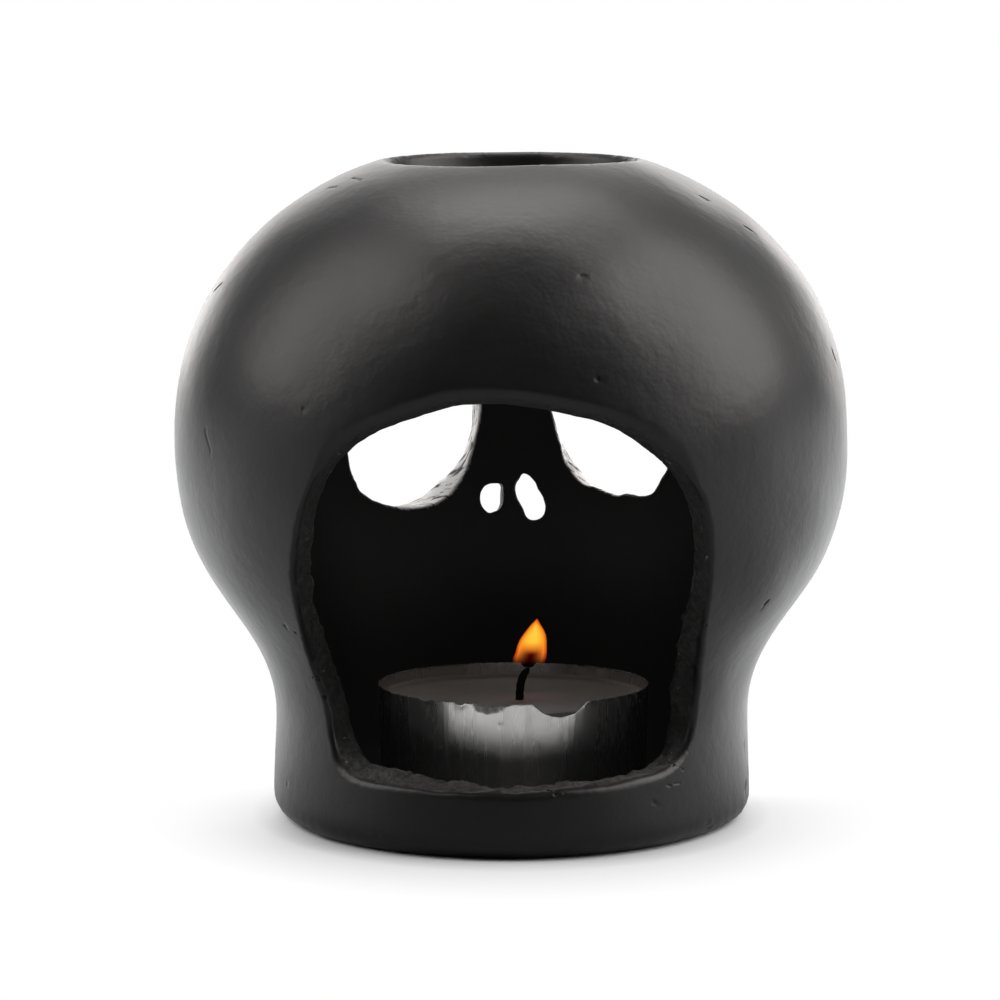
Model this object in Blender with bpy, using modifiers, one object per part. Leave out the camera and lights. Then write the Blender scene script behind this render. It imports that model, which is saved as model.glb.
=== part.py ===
"""A hollow ceramic skull that holds a tealight, with an oil dish sunk into its crown.

The face looks along -Y, the hand-cut door for the candle is at the back, on the +Y side, and the
foot stands on z = 0 with the candle's axis on the Z axis. All sizes are in metres.
"""

import math

import bmesh
import bpy
import numpy as np
from mathutils import Matrix, Vector

# Skull, outside: how far each level of the body reaches to the sides, the back and the face.
FOOT_SIDE_REACH = 0.0337
FOOT_BACK_REACH = 0.0386
FOOT_FACE_REACH = 0.0395
WAIST_SIDE_REACH = 0.0334
WAIST_BACK_REACH = 0.0383
WAIST_FACE_REACH = 0.0405
HEAD_SIDE_REACH = 0.0474
HEAD_BACK_REACH = 0.0500
HEAD_FACE_REACH = 0.0505
WAIST_HEIGHT = 0.0140
HEAD_HEIGHT = 0.0528
DOME_HEIGHT = 0.04185
FOOT_EDGE_RADIUS = 0.0030
WAIST_PULL = 0.0156
HEAD_PULL = 0.0220
DOME_FULLNESS = 2.2
PLAN_FULLNESS = 2.0

# Skull, inside.
WALL = 0.0040
FLOOR = 0.0030
FLOOR_FILLET = 0.0030

# Oil dish in the crown.
DISH_RADIUS = 0.0177
DISH_DEPTH = 0.0090
DISH_FULLNESS = 3.0
DISH_WALL = 0.0035

# Door at the back.
DOOR_SILL = 0.0094
DOOR_TOP = 0.0629
DOOR_ARCH_SPRING = 0.0400
DOOR_SIDE_REACH = 0.0282
DOOR_FOOT_REACH = 0.0246
DOOR_FOOT_HEIGHT = 0.0150
DOOR_CORNER_RADIUS = 0.0050
DOOR_ARCH_FULLNESS = 2.15
DOOR_LEAN = 0.0012
DOOR_LIP = 0.0020

# Eye sockets, each cut by hand from the outside with the knife held at one slant: offset from
# the middle, height, half width, half height and the slant in degrees.
EYE_LEFT = (0.0171, 0.0510, 0.0099, 0.0133, 31.0)
EYE_RIGHT = (-0.0167, 0.0512, 0.0093, 0.0121, -17.0)
EYE_LEAN = 0.10
EYE_FULLNESS = 2.4
EYE_LIP = 0.0012

# Nostrils, also cut by hand: offset from the middle, height, length, width and tilt in degrees.
NOSTRIL_LEFT = (0.0031, 0.0382, 0.0056, 0.0026, 14.0)
NOSTRIL_RIGHT = (-0.0030, 0.0388, 0.0080, 0.0030, -9.0)
NOSTRIL_LIP = 0.0006

# Teeth in relief above the foot.
TEETH_PER_ROW = 8
TOOTH_PITCH = 0.0048
TOOTH_GAP = 0.0007
TOOTH_STAND = 0.0014
TOOTH_DEPTH = 0.0042
TOOTH_EDGE_RADIUS = 0.0012
BITE_HEIGHT = 0.0118
BITE_GAP = 0.0008
UPPER_TOOTH_HEIGHT = 0.0078
LOWER_TOOTH_HEIGHT = 0.0064

# Relief of the face: offset from the middle, height, spread across, spread up, and how far out.
FACE_RELIEF = {
    "brow": (0.0165, 0.0680, 0.0105, 0.0040, 0.0024),
    "forehead between brows": (0.0000, 0.0640, 0.0055, 0.0045, 0.0010),
    "socket hollow": (0.0169, 0.0510, 0.0100, 0.0115, -0.0024),
    "cheekbone": (0.0245, 0.0335, 0.0075, 0.0044, 0.0026),
    "cheek hollow": (0.0240, 0.0195, 0.0065, 0.0060, -0.0016),
    "nose bridge": (0.0000, 0.0510, 0.0032, 0.0070, 0.0016),
    "nose hollow": (0.0000, 0.0385, 0.0052, 0.0052, -0.0014),
    "jaw": (0.0000, 0.0160, 0.0150, 0.0095, 0.0030),
}

# Tealight. It stands a little off the middle, and its wick off the cup's own.
TEALIGHT_OFFSET = -0.0003
WICK_OFFSET = -0.0009
CUP_RADIUS = 0.01925
CUP_HEIGHT = 0.0148
CUP_WALL = 0.0003
CUP_TAPER = 0.0004
CUP_EDGE_RADIUS = 0.0010
CUP_BEAD = 0.00025
TEAR_RADIUS = 0.0052
TEAR_DEPTH = 0.0019
TEAR_OFFSET = -0.0067
WAX_BELOW_RIM = 0.0020
WAX_MENISCUS = 0.0007
WICK_RADIUS = 0.0006
WICK_STAND = 0.0045
WICK_BEND = 0.0014
CLIP_RADIUS = 0.0060
CLIP_THICKNESS = 0.0004
CLIP_COLLAR_HEIGHT = 0.0030
CLIP_COLLAR_WALL = 0.0003
SEAT_GAP = 0.0003

# Facets.
COLUMNS = 64
CAVITY_COLUMNS = 40
DOME_ROWS = 11
NECK_ROWS = 14
FOOT_ROWS = 3
EDGE_ROWS = 3
DISH_STEPS = 40
CUTTER_REACH = 0.0700
PROFILE_SAMPLES = 160


def clear_scene():
    for obj in list(bpy.data.objects):
        bpy.data.objects.remove(obj)


def new_collection(name):
    collection = bpy.data.collections.new(name)
    bpy.context.scene.collection.children.link(collection)
    return collection


def material(name, colour, roughness, metallic=0.0):
    made = bpy.data.materials.new(name)
    made.use_nodes = True
    shader = made.node_tree.nodes["Principled BSDF"]
    shader.inputs["Base Color"].default_value = (*colour, 1.0)
    shader.inputs["Roughness"].default_value = roughness
    shader.inputs["Metallic"].default_value = metallic
    return made


def add_object(name, mesh, collection, finish=None):
    obj = bpy.data.objects.new(name, mesh)
    collection.objects.link(obj)
    if finish:
        mesh.materials.append(finish)
    return obj


def mesh_of(bm, name):
    bmesh.ops.recalc_face_normals(bm, faces=bm.faces)
    mesh = bpy.data.meshes.new(name)
    bm.to_mesh(mesh)
    bm.free()
    return mesh


def shade(mesh, angle=40.0):
    mesh.shade_smooth()
    mesh.set_sharp_from_angle(angle=math.radians(angle))


def hide_tool(obj):
    obj.hide_render = True
    obj.display_type = "WIRE"
    return obj


def boolean(obj, other, operation):
    modifier = obj.modifiers.new(other.name, "BOOLEAN")
    modifier.operation = operation
    modifier.object = other
    modifier.solver = "EXACT"


def loft(name, rings):
    """A closed body through rings of equal count, with a flat lid on the first and the last."""
    bm = bmesh.new()
    rows = [[bm.verts.new(point) for point in ring] for ring in rings]
    for lower, upper in zip(rows, rows[1:]):
        for i in range(len(lower)):
            j = (i + 1) % len(lower)
            bm.faces.new((lower[i], lower[j], upper[j], upper[i]))
    bm.faces.new(list(reversed(rows[0])))
    bm.faces.new(rows[-1])
    return mesh_of(bm, name)


def turned(name, profile, collection, finish=None, steps=48, offset=0.0):
    """A solid of revolution about an upright axis, set off along X, from (radius, height) points
    that start and end on the axis, or that close on themselves. They run down the outer side."""
    bm = bmesh.new()
    points = [bm.verts.new((radius, 0.0, height)) for radius, height in profile]
    for a, b in zip(points, points[1:]):
        bm.edges.new((a, b))
    if profile[0][0] > 0.0:
        bm.edges.new((points[-1], points[0]))
    mesh = bpy.data.meshes.new(name)
    bm.to_mesh(mesh)
    bm.free()
    obj = add_object(name, mesh, collection, finish)
    obj.location.x = offset
    screw = obj.modifiers.new("turn", "SCREW")
    screw.axis = "Z"
    screw.steps = steps
    screw.render_steps = steps
    screw.use_merge_vertices = True
    screw.merge_threshold = 0.00001
    return obj


def bezier(a, b, c, d, t):
    return (1 - t) ** 3 * a + 3 * (1 - t) ** 2 * t * b + 3 * (1 - t) * t**2 * c + t**3 * d


def quarter(a, fullness):
    """(across, up) on a quarter of a superellipse, at angle a from 0 to 90 degrees."""
    across = max(math.cos(a), 0.0) ** (2 / fullness)
    up = max(math.sin(a), 0.0) ** (2 / fullness)
    return across, up


def profile(foot, waist, head):
    """One upright profile of the body as (reach, height) from the foot to the top of the dome."""
    points = []
    for i in range(EDGE_ROWS * 8 + 1):
        a = math.radians(90) * i / (EDGE_ROWS * 8)
        points.append(
            (
                foot - FOOT_EDGE_RADIUS * (1 - math.sin(a)),
                FOOT_EDGE_RADIUS * (1 - math.cos(a)),
            )
        )
    for i in range(1, PROFILE_SAMPLES + 1):
        t = i / PROFILE_SAMPLES
        ease = t * t * (3 - 2 * t)
        height = FOOT_EDGE_RADIUS + (WAIST_HEIGHT - FOOT_EDGE_RADIUS) * t
        points.append((foot + (waist - foot) * ease, height))
    for i in range(1, PROFILE_SAMPLES + 1):
        t = i / PROFILE_SAMPLES
        reach = bezier(waist, waist, head, head, t)
        height = bezier(
            WAIST_HEIGHT, WAIST_HEIGHT + WAIST_PULL, HEAD_HEIGHT - HEAD_PULL, HEAD_HEIGHT, t
        )
        points.append((reach, height))
    for i in range(1, PROFILE_SAMPLES + 1):
        across, up = quarter(math.radians(90) * i / PROFILE_SAMPLES, DOME_FULLNESS)
        points.append((head * across, HEAD_HEIGHT + DOME_HEIGHT * up))
    return np.array(points)


def inset(curve, depth):
    """The profile moved inwards by depth, square to itself."""
    along = np.gradient(curve, axis=0)
    along /= np.linalg.norm(along, axis=1)[:, None]
    return np.column_stack(
        (curve[:, 0] - depth * along[:, 1], curve[:, 1] + depth * along[:, 0])
    )


PROFILES = {
    "side": profile(FOOT_SIDE_REACH, WAIST_SIDE_REACH, HEAD_SIDE_REACH),
    "back": profile(FOOT_BACK_REACH, WAIST_BACK_REACH, HEAD_BACK_REACH),
    "face": profile(FOOT_FACE_REACH, WAIST_FACE_REACH, HEAD_FACE_REACH),
}


def reaches(height, depth=0.0):
    """How far the body reaches at this height to the side, the back and the face, less a wall."""
    found = []
    for curve in PROFILES.values():
        moved = inset(curve, depth) if depth else curve
        found.append(float(np.interp(height, moved[:, 1], moved[:, 0])))
    return found


def plan_point(height, angle, depth=0.0, extra=0.0):
    """A point of the body's section at this height. Angle 0 is +X and 90 degrees is the back."""
    side, back, face = (reach - extra for reach in reaches(height, depth))
    c, s = math.cos(angle), math.sin(angle)
    power = 2 / PLAN_FULLNESS
    x = side * math.copysign(abs(c) ** power, c)
    y = (back if s > 0 else face) * math.copysign(abs(s) ** power, s)
    return Vector((x, y, height))


def relief(x, height):
    """How far the face stands out at this place."""
    total = 0.0
    for offset, level, across, up, stand in FACE_RELIEF.values():
        mirrored = {offset, -offset}
        for middle in mirrored:
            bump = ((x - middle) / across) ** 2 + ((height - level) / up) ** 2
            total += stand * math.exp(-bump / 2)
    return total


def with_relief(point):
    """A point of the face moved out by the relief, and any other point as it is."""
    if point.y >= 0:
        return point
    _, _, face = reaches(point.z)
    turn_in = min(max(-point.y / face, 0.0), 1.0)
    outward = Vector((point.x, point.y, 0.0)).normalized()
    return point + outward * relief(point.x, point.z) * turn_in


def surface_point(x, height, towards):
    """The outside of the body behind or in front of (x, height): towards is 1 or -1 along Y."""
    side, back, face = reaches(height)
    share = min(abs(x) / side, 0.999)
    y = (back if towards > 0 else face) * (1 - share**PLAN_FULLNESS) ** (1 / PLAN_FULLNESS)
    return with_relief(Vector((x, towards * y, height)))


def surface_normal(x, height, towards):
    step = 0.0008
    across = surface_point(x + step, height, towards) - surface_point(x - step, height, towards)
    up = surface_point(x, height + step, towards) - surface_point(x, height - step, towards)
    normal = across.cross(up).normalized()
    return normal if normal.y * towards > 0 else -normal


def ring_heights(depth, lowest):
    """Levels for the rings of a loft, from a given lowest one up into the dish's mouth."""
    levels = []
    if lowest < WAIST_HEIGHT:
        levels += [
            lowest + (WAIST_HEIGHT - lowest) * i / FOOT_ROWS for i in range(1, FOOT_ROWS)
        ]
    for i in range(NECK_ROWS):
        levels.append(WAIST_HEIGHT + (HEAD_HEIGHT - WAIST_HEIGHT) * i / NECK_ROWS)
    lid = math.acos((0.6 * DISH_RADIUS / HEAD_SIDE_REACH) ** (DOME_FULLNESS / 2))
    for i in range(DOME_ROWS + 1):
        _, up = quarter(lid * i / DOME_ROWS, DOME_FULLNESS)
        levels.append(HEAD_HEIGHT + (DOME_HEIGHT - depth) * up)
    return levels


def ring(height, columns, depth=0.0, extra=0.0):
    return [
        plan_point(height, math.tau * i / columns, depth, extra) for i in range(columns)
    ]


def body_rings():
    rings = []
    for i in range(EDGE_ROWS + 1):
        a = math.radians(90) * i / EDGE_ROWS
        rings.append(ring(FOOT_EDGE_RADIUS * (1 - math.cos(a)), COLUMNS))
    for height in ring_heights(0.0, FOOT_EDGE_RADIUS):
        rings.append(ring(height, COLUMNS))
    return [[with_relief(point) for point in level] for level in rings]


def cavity_rings():
    rings = []
    for i in range(EDGE_ROWS + 1):
        a = math.radians(90) * i / EDGE_ROWS
        height = FLOOR + FLOOR_FILLET * (1 - math.cos(a))
        rings.append(
            ring(height, CAVITY_COLUMNS, WALL, FLOOR_FILLET * (1 - math.sin(a)))
        )
    for height in ring_heights(WALL, FLOOR + FLOOR_FILLET):
        rings.append(ring(height, CAVITY_COLUMNS, WALL))
    return rings


def rim_height():
    """Where the dome meets the dish's edge at the sides."""
    share = (DISH_RADIUS / HEAD_SIDE_REACH) ** DOME_FULLNESS
    return HEAD_HEIGHT + DOME_HEIGHT * (1 - share) ** (1 / DOME_FULLNESS)


def bowl_profile(grow):
    """The dish as a turned plug, grown by a wall, that stands up out of the crown."""
    radius, depth = DISH_RADIUS + grow, DISH_DEPTH + grow
    points = [(0.0, rim_height() + DISH_DEPTH), (radius, rim_height() + DISH_DEPTH)]
    for i in range(9):
        across, down = quarter(math.radians(90) * i / 8, DISH_FULLNESS)
        if across * radius > 1e-6:
            points.append((across * radius, rim_height() - depth * down))
    points.append((0.0, rim_height() - depth))
    return points


def through_cut(name, outline, towards, lip, collection, slant=None):
    """A cutter through the wall along an outline of (x, height) points, flared at the outside
    like a wiped edge. It goes square to the wall, or else at one slant in degrees, sideways."""
    count = len(outline)
    places = [surface_point(x, z, towards) for x, z in outline]
    normals = [surface_normal(x, z, towards) for x, z in outline]
    middle = sum(places, Vector()) / count
    outwards = []
    for i in range(count):
        along = places[(i + 1) % count] - places[i - 1]
        away = along.cross(normals[i]).normalized()
        outwards.append(away if away.dot(places[i] - middle) > 0 else -away)
    inwards = [-normal for normal in normals]
    if slant is not None:
        a = math.radians(slant)
        inwards = [Vector((-math.sin(a), math.cos(a), 0.0)) / math.cos(a)] * count
    flare = []
    for degrees in (0, 20, 40, 60):
        a = math.radians(degrees)
        flare.append((lip * (1 - math.cos(a)), -lip * (1 - math.sin(a))))
    run = 1.4 * lip
    last_across, last_up = flare[-1]
    flare.append((last_across + run * math.sin(a), last_up + run * math.cos(a)))
    deep = [p + inward * WALL * 1.7 for p, inward in zip(places, inwards)]
    rings = [
        [Vector((p.x, 0.15 * CUTTER_REACH * towards, p.z)) for p in deep],
        deep,
    ]
    for across, up in flare:
        rings.append([p + n * up + o * across for p, n, o in zip(places, normals, outwards)])
    rings.append([Vector((p.x, CUTTER_REACH * towards, p.z)) for p in rings[-1]])
    return hide_tool(add_object(name, loft(name, rings), collection))


def door_outline():
    """The door from the back: a full arch that draws in to a narrower foot with round corners,
    and that leans a little to one side."""
    half = []
    steps = 12
    for i in range(steps + 1):
        across, up = quarter(math.radians(90) * (1 - i / steps), DOOR_ARCH_FULLNESS)
        rise = (DOOR_TOP - DOOR_ARCH_SPRING) * up
        half.append((DOOR_SIDE_REACH * across, DOOR_ARCH_SPRING + rise))
    for i in range(1, 7):
        t = i / 6
        draw = (DOOR_FOOT_REACH - DOOR_SIDE_REACH) * t * t * (3 - 2 * t)
        drop = (DOOR_FOOT_HEIGHT - DOOR_ARCH_SPRING) * t
        half.append((DOOR_SIDE_REACH + draw, DOOR_ARCH_SPRING + drop))
    centre_x = DOOR_FOOT_REACH - DOOR_CORNER_RADIUS
    centre_z = DOOR_SILL + DOOR_CORNER_RADIUS
    for i in range(1, 5):
        a = math.radians(90) * i / 4
        x = centre_x + DOOR_CORNER_RADIUS * math.cos(a)
        half.append((x, centre_z - DOOR_CORNER_RADIUS * math.sin(a)))
    for i in range(1, 4):
        half.append((centre_x * (1 - i / 4), DOOR_SILL))
    other = [(-x, z) for x, z in reversed(half[1:])]
    outline = half + [(0.0, DOOR_SILL)] + other
    lean = DOOR_LEAN / (DOOR_ARCH_SPRING - DOOR_SILL)
    return [(x + min(lean * (z - DOOR_SILL), DOOR_LEAN), z) for x, z in outline]


def eye_outline(offset, height, half_width, half_height):
    """One socket: a superellipse whose lower end leans outwards."""
    points = []
    power = 2 / EYE_FULLNESS
    lean = math.copysign(EYE_LEAN, offset)
    for i in range(30):
        a = math.tau * i / 30
        c, s = math.cos(a), math.sin(a)
        x = half_width * math.copysign(abs(c) ** power, c)
        z = half_height * math.copysign(abs(s) ** power, s)
        points.append((offset + x - lean * z, height + z))
    return points


def nostril_outline(offset, height, length, width, tilt):
    """A slot with round ends, tilted about its middle."""
    points = []
    turn = math.radians(tilt)
    straight = (length - width) / 2
    for i in range(20):
        a = math.tau * i / 20
        x = width / 2 * math.cos(a)
        z = width / 2 * math.sin(a) + math.copysign(straight, math.sin(a) + 1e-9)
        points.append(
            (
                offset + x * math.cos(turn) - z * math.sin(turn),
                height + x * math.sin(turn) + z * math.cos(turn),
            )
        )
    return points


def tooth_row(bm, low, high):
    """Blocks with rounded fronts side by side round the jaw, half sunk into it."""
    middle = (low + high) / 2
    side, _, _ = reaches(middle)
    for i in range(TEETH_PER_ROW):
        run = (i - (TEETH_PER_ROW - 1) / 2) * TOOTH_PITCH
        x = side * math.sin(run / side)
        normal = surface_normal(x, middle, -1)
        centre = surface_point(x, middle, -1) + normal * (TOOTH_STAND - TOOTH_DEPTH / 2)
        facing = normal.to_track_quat("-Y", "Z").to_matrix().to_4x4()
        made = bmesh.ops.create_cube(bm, size=1.0)["verts"]
        bmesh.ops.scale(bm, vec=(TOOTH_PITCH - TOOTH_GAP, TOOTH_DEPTH, high - low), verts=made)
        rounded = {
            edge for vert in made for edge in vert.link_edges if min(v.co.y for v in edge.verts) < 0
        }
        bmesh.ops.transform(bm, matrix=Matrix.Translation(centre) @ facing, verts=made)
        bmesh.ops.bevel(
            bm,
            geom=list(rounded),
            offset=TOOTH_EDGE_RADIUS,
            segments=2,
            profile=0.5,
            affect="EDGES",
        )


def make_teeth(collection):
    bm = bmesh.new()
    tooth_row(bm, BITE_HEIGHT + BITE_GAP / 2, BITE_HEIGHT + UPPER_TOOTH_HEIGHT)
    tooth_row(bm, BITE_HEIGHT - LOWER_TOOTH_HEIGHT, BITE_HEIGHT - BITE_GAP / 2)
    return hide_tool(add_object("teeth", mesh_of(bm, "teeth"), collection))


def make_skull(collection, tools, finish):
    skull = add_object("skull_shell", loft("skull_shell", body_rings()), collection, finish)
    boolean(skull, make_teeth(tools), "UNION")
    cavity = hide_tool(add_object("cavity", loft("cavity", cavity_rings()), tools))
    boss = hide_tool(turned("dish_boss", bowl_profile(DISH_WALL), tools, steps=DISH_STEPS))
    boolean(cavity, boss, "DIFFERENCE")
    boolean(skull, cavity, "DIFFERENCE")
    dish = hide_tool(turned("dish_hollow", bowl_profile(0.0), tools, steps=DISH_STEPS))
    boolean(skull, dish, "DIFFERENCE")
    cuts = [through_cut("door_cut", door_outline(), 1, DOOR_LIP, tools)]
    for side, (*shape, slant) in {"left": EYE_LEFT, "right": EYE_RIGHT}.items():
        outline = eye_outline(*shape)
        cuts.append(through_cut(f"eye_cut_{side}", outline, -1, EYE_LIP, tools, slant))
    for side, slot in {"left": NOSTRIL_LEFT, "right": NOSTRIL_RIGHT}.items():
        outline = nostril_outline(*slot)
        cuts.append(through_cut(f"nostril_cut_{side}", outline, -1, NOSTRIL_LIP, tools))
    for cut in cuts:
        boolean(skull, cut, "DIFFERENCE")
    shade(skull.data)
    return skull


def make_cup(collection, tools, finish):
    """The pressed foil cup, with the bite that is torn out of its rim towards the door."""
    bottom = FLOOR + SEAT_GAP
    rim = bottom + CUP_HEIGHT
    base = CUP_RADIUS - CUP_TAPER
    inner_edge = CUP_EDGE_RADIUS - CUP_WALL
    outer = [(CUP_RADIUS, rim), (CUP_RADIUS, rim - CUP_BEAD * 2)]
    outer.append((CUP_RADIUS - CUP_BEAD, rim - CUP_BEAD * 3))
    inner = [(CUP_RADIUS - CUP_WALL, rim), (CUP_RADIUS - CUP_WALL, rim - CUP_BEAD * 2)]
    inner.append((CUP_RADIUS - CUP_BEAD - CUP_WALL, rim - CUP_BEAD * 3))
    for i in range(4):
        a = math.radians(90) * i / 3
        outer.append(
            (
                base - CUP_EDGE_RADIUS * (1 - math.cos(a)),
                bottom + CUP_EDGE_RADIUS * (1 - math.sin(a)),
            )
        )
        inner.append(
            (
                base - CUP_WALL - inner_edge * (1 - math.cos(a)),
                bottom + CUP_WALL + inner_edge * (1 - math.sin(a)),
            )
        )
    outer.append((0.0, bottom))
    inner.append((0.0, bottom + CUP_WALL))
    section = list(reversed(inner)) + outer
    cup = turned("tealight_cup", section, collection, finish, 64, TEALIGHT_OFFSET)
    tear = bpy.data.meshes.new("rim_tear")
    bm = bmesh.new()
    middle = TEALIGHT_OFFSET + TEAR_OFFSET
    place = Matrix.Translation((middle, CUP_RADIUS, rim - TEAR_DEPTH + TEAR_RADIUS))
    bmesh.ops.create_cone(
        bm,
        cap_ends=True,
        segments=32,
        radius1=TEAR_RADIUS,
        radius2=TEAR_RADIUS,
        depth=CUP_RADIUS,
        matrix=place @ Matrix.Rotation(math.radians(90), 4, "X"),
    )
    bm.to_mesh(tear)
    bm.free()
    boolean(cup, hide_tool(add_object("rim_tear", tear, tools)), "DIFFERENCE")
    shade(cup.data)
    return cup


def wax_levels():
    """Heights of the wax: its underside, its level near the wick, and its edge at the cup."""
    bottom = FLOOR + SEAT_GAP + CUP_WALL + SEAT_GAP
    level = FLOOR + SEAT_GAP + CUP_HEIGHT - WAX_BELOW_RIM
    return bottom, level, level + WAX_MENISCUS


def make_wax(collection, tools, finish):
    """The wax fills the cup round the wick and its clip, and creeps a little up the wall."""
    bottom, level, edge = wax_levels()
    radius = CUP_RADIUS - CUP_TAPER - CUP_WALL - SEAT_GAP
    pool = level - WAX_MENISCUS / 2
    section = [(0.0, pool), (radius * 0.15, pool), (radius * 0.45, level)]
    section += [(radius * 0.88, level), (radius * 0.97, level + WAX_MENISCUS * 0.4)]
    section += [(radius, edge), (radius, bottom + CUP_EDGE_RADIUS)]
    section += [(radius - CUP_EDGE_RADIUS, bottom), (0.0, bottom)]
    wax = turned("tealight_wax", section, collection, finish, offset=TEALIGHT_OFFSET)
    boolean(wax, make_wick_room(tools), "DIFFERENCE")
    shade(wax.data, 60)
    return wax


def make_wick_room(collection):
    """The room in the wax for the wick's bore, the clip's collar and its disc."""
    bottom, level, _ = wax_levels()
    bore = WICK_RADIUS + SEAT_GAP
    collar = bore + CLIP_COLLAR_WALL + SEAT_GAP
    disc = CLIP_RADIUS + SEAT_GAP
    clip_top = bottom + CLIP_THICKNESS + SEAT_GAP
    collar_top = bottom + CLIP_COLLAR_HEIGHT + SEAT_GAP
    above = level + WAX_MENISCUS
    below = bottom - CLIP_THICKNESS
    section = [(0.0, above), (bore, above), (bore, collar_top), (collar, collar_top)]
    section += [(collar, clip_top), (disc, clip_top), (disc, below), (0.0, below)]
    middle = TEALIGHT_OFFSET + WICK_OFFSET
    return hide_tool(turned("wick_room", section, collection, steps=32, offset=middle))


def make_clip(collection, finish):
    """The stamped disc under the wax whose collar grips the wick."""
    bottom, _, _ = wax_levels()
    bore = WICK_RADIUS + SEAT_GAP
    section = [
        (bore, bottom + CLIP_COLLAR_HEIGHT),
        (bore + CLIP_COLLAR_WALL, bottom + CLIP_COLLAR_HEIGHT),
        (bore + CLIP_COLLAR_WALL, bottom + CLIP_THICKNESS),
        (CLIP_RADIUS, bottom + CLIP_THICKNESS),
        (CLIP_RADIUS, bottom),
        (bore, bottom),
    ]
    middle = TEALIGHT_OFFSET + WICK_OFFSET
    clip = turned("wick_clip", section, collection, finish, 32, middle)
    shade(clip.data)
    return clip


def make_wick(collection, finish):
    """The cotton wick: straight up through the wax, then bent over at its burnt end."""
    bottom, level, _ = wax_levels()
    spline_points = [
        (0.0, bottom),
        (0.0, level),
        (0.0, level + WICK_STAND * 0.25),
        (WICK_BEND * 0.2, level + WICK_STAND * 0.55),
        (WICK_BEND * 0.5, level + WICK_STAND * 0.8),
        (WICK_BEND, level + WICK_STAND),
    ]
    curve = bpy.data.curves.new("wick", "CURVE")
    curve.dimensions = "3D"
    curve.bevel_depth = WICK_RADIUS
    curve.bevel_resolution = 3
    curve.use_fill_caps = True
    spline = curve.splines.new("POLY")
    spline.points.add(len(spline_points) - 1)
    for point, (bend, height) in zip(spline.points, spline_points):
        point.co = (-bend, 0.0, height, 1.0)
    curve.materials.append(finish)
    wick = bpy.data.objects.new("wick", curve)
    collection.objects.link(wick)
    wick.location.x = TEALIGHT_OFFSET + WICK_OFFSET
    return wick


def main():
    clear_scene()
    parts = new_collection("Skull candle holder")
    tools = new_collection("Cutters")
    ceramic = material("matt black ceramic", (0.012, 0.012, 0.012), 0.42)
    foil = material("pressed aluminium", (0.78, 0.77, 0.75), 0.32, 1.0)
    wax = material("white wax", (0.82, 0.80, 0.75), 0.45)
    tin = material("tinned steel", (0.62, 0.62, 0.60), 0.35, 1.0)
    cotton = material("burnt cotton", (0.015, 0.012, 0.010), 0.9)
    make_skull(parts, tools, ceramic)
    make_cup(parts, tools, foil)
    make_wax(parts, tools, wax)
    make_clip(parts, tin)
    make_wick(parts, cotton)


main()
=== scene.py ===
import math

import bmesh
import bpy
import numpy as np
from mathutils import Euler, Matrix, Vector, noise
from mathutils.bvhtree import BVHTree


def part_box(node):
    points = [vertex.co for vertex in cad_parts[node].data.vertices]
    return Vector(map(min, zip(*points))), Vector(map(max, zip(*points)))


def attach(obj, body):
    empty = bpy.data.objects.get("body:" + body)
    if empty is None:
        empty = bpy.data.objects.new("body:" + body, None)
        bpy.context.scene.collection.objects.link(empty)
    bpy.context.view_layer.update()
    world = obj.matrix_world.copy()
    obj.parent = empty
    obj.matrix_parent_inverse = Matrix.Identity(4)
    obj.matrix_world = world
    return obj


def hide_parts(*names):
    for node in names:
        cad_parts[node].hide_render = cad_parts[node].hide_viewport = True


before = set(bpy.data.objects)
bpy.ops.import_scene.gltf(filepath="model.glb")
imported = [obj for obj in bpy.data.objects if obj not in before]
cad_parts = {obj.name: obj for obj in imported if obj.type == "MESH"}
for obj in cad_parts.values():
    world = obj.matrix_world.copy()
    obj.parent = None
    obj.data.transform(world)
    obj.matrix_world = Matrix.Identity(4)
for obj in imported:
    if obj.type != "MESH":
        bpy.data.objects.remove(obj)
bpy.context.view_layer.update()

SHELL_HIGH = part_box("skull_shell")[1]
CUP_LOW, CUP_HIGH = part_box("tealight_cup")
WAX_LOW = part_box("tealight_wax")[0]
MM = 0.001

# Camera: the photo looks at the back of the skull along -Y. The photo's right is -X.
CAMERA_PLACE = Vector((0.0016, 0.683, 0.126))
CAMERA_TILT = 6.8245
LENS_MM = 175.42
SENSOR_MM = 36.0
PHOTO_SIZE = 1000

# Skull, outside: reach to the side, the back and the face at the foot, the waist and the head.
HEAD_SIDE = SHELL_HIGH.x
SIDE = (0.0337, 0.0334, HEAD_SIDE)
BACK = (0.0394, 0.0389, 0.0500)
FACE = (0.0395, 0.0405, 0.0505)
WAIST_HEIGHT = 0.0140
HEAD_HEIGHT = 0.0528
DOME_HEIGHT = 0.04185
DOME_FULLNESS = 2.2
FOOT_EDGE_RADIUS = 0.0030
WAIST_PULL = 0.0156
HEAD_PULL = 0.0220
WALL = 0.0040
FLOOR = 0.0030
FLOOR_FILLET = 0.0030
DISH_RADIUS = 0.0177
DISH_DEPTH = 0.0090
DISH_WALL = 0.0035
DISH_FULLNESS = 3.0
DISH_SLOPE = 0.25
RIM_ROUNDING = 0.0014
RIM_DROP = 0.0002

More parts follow.
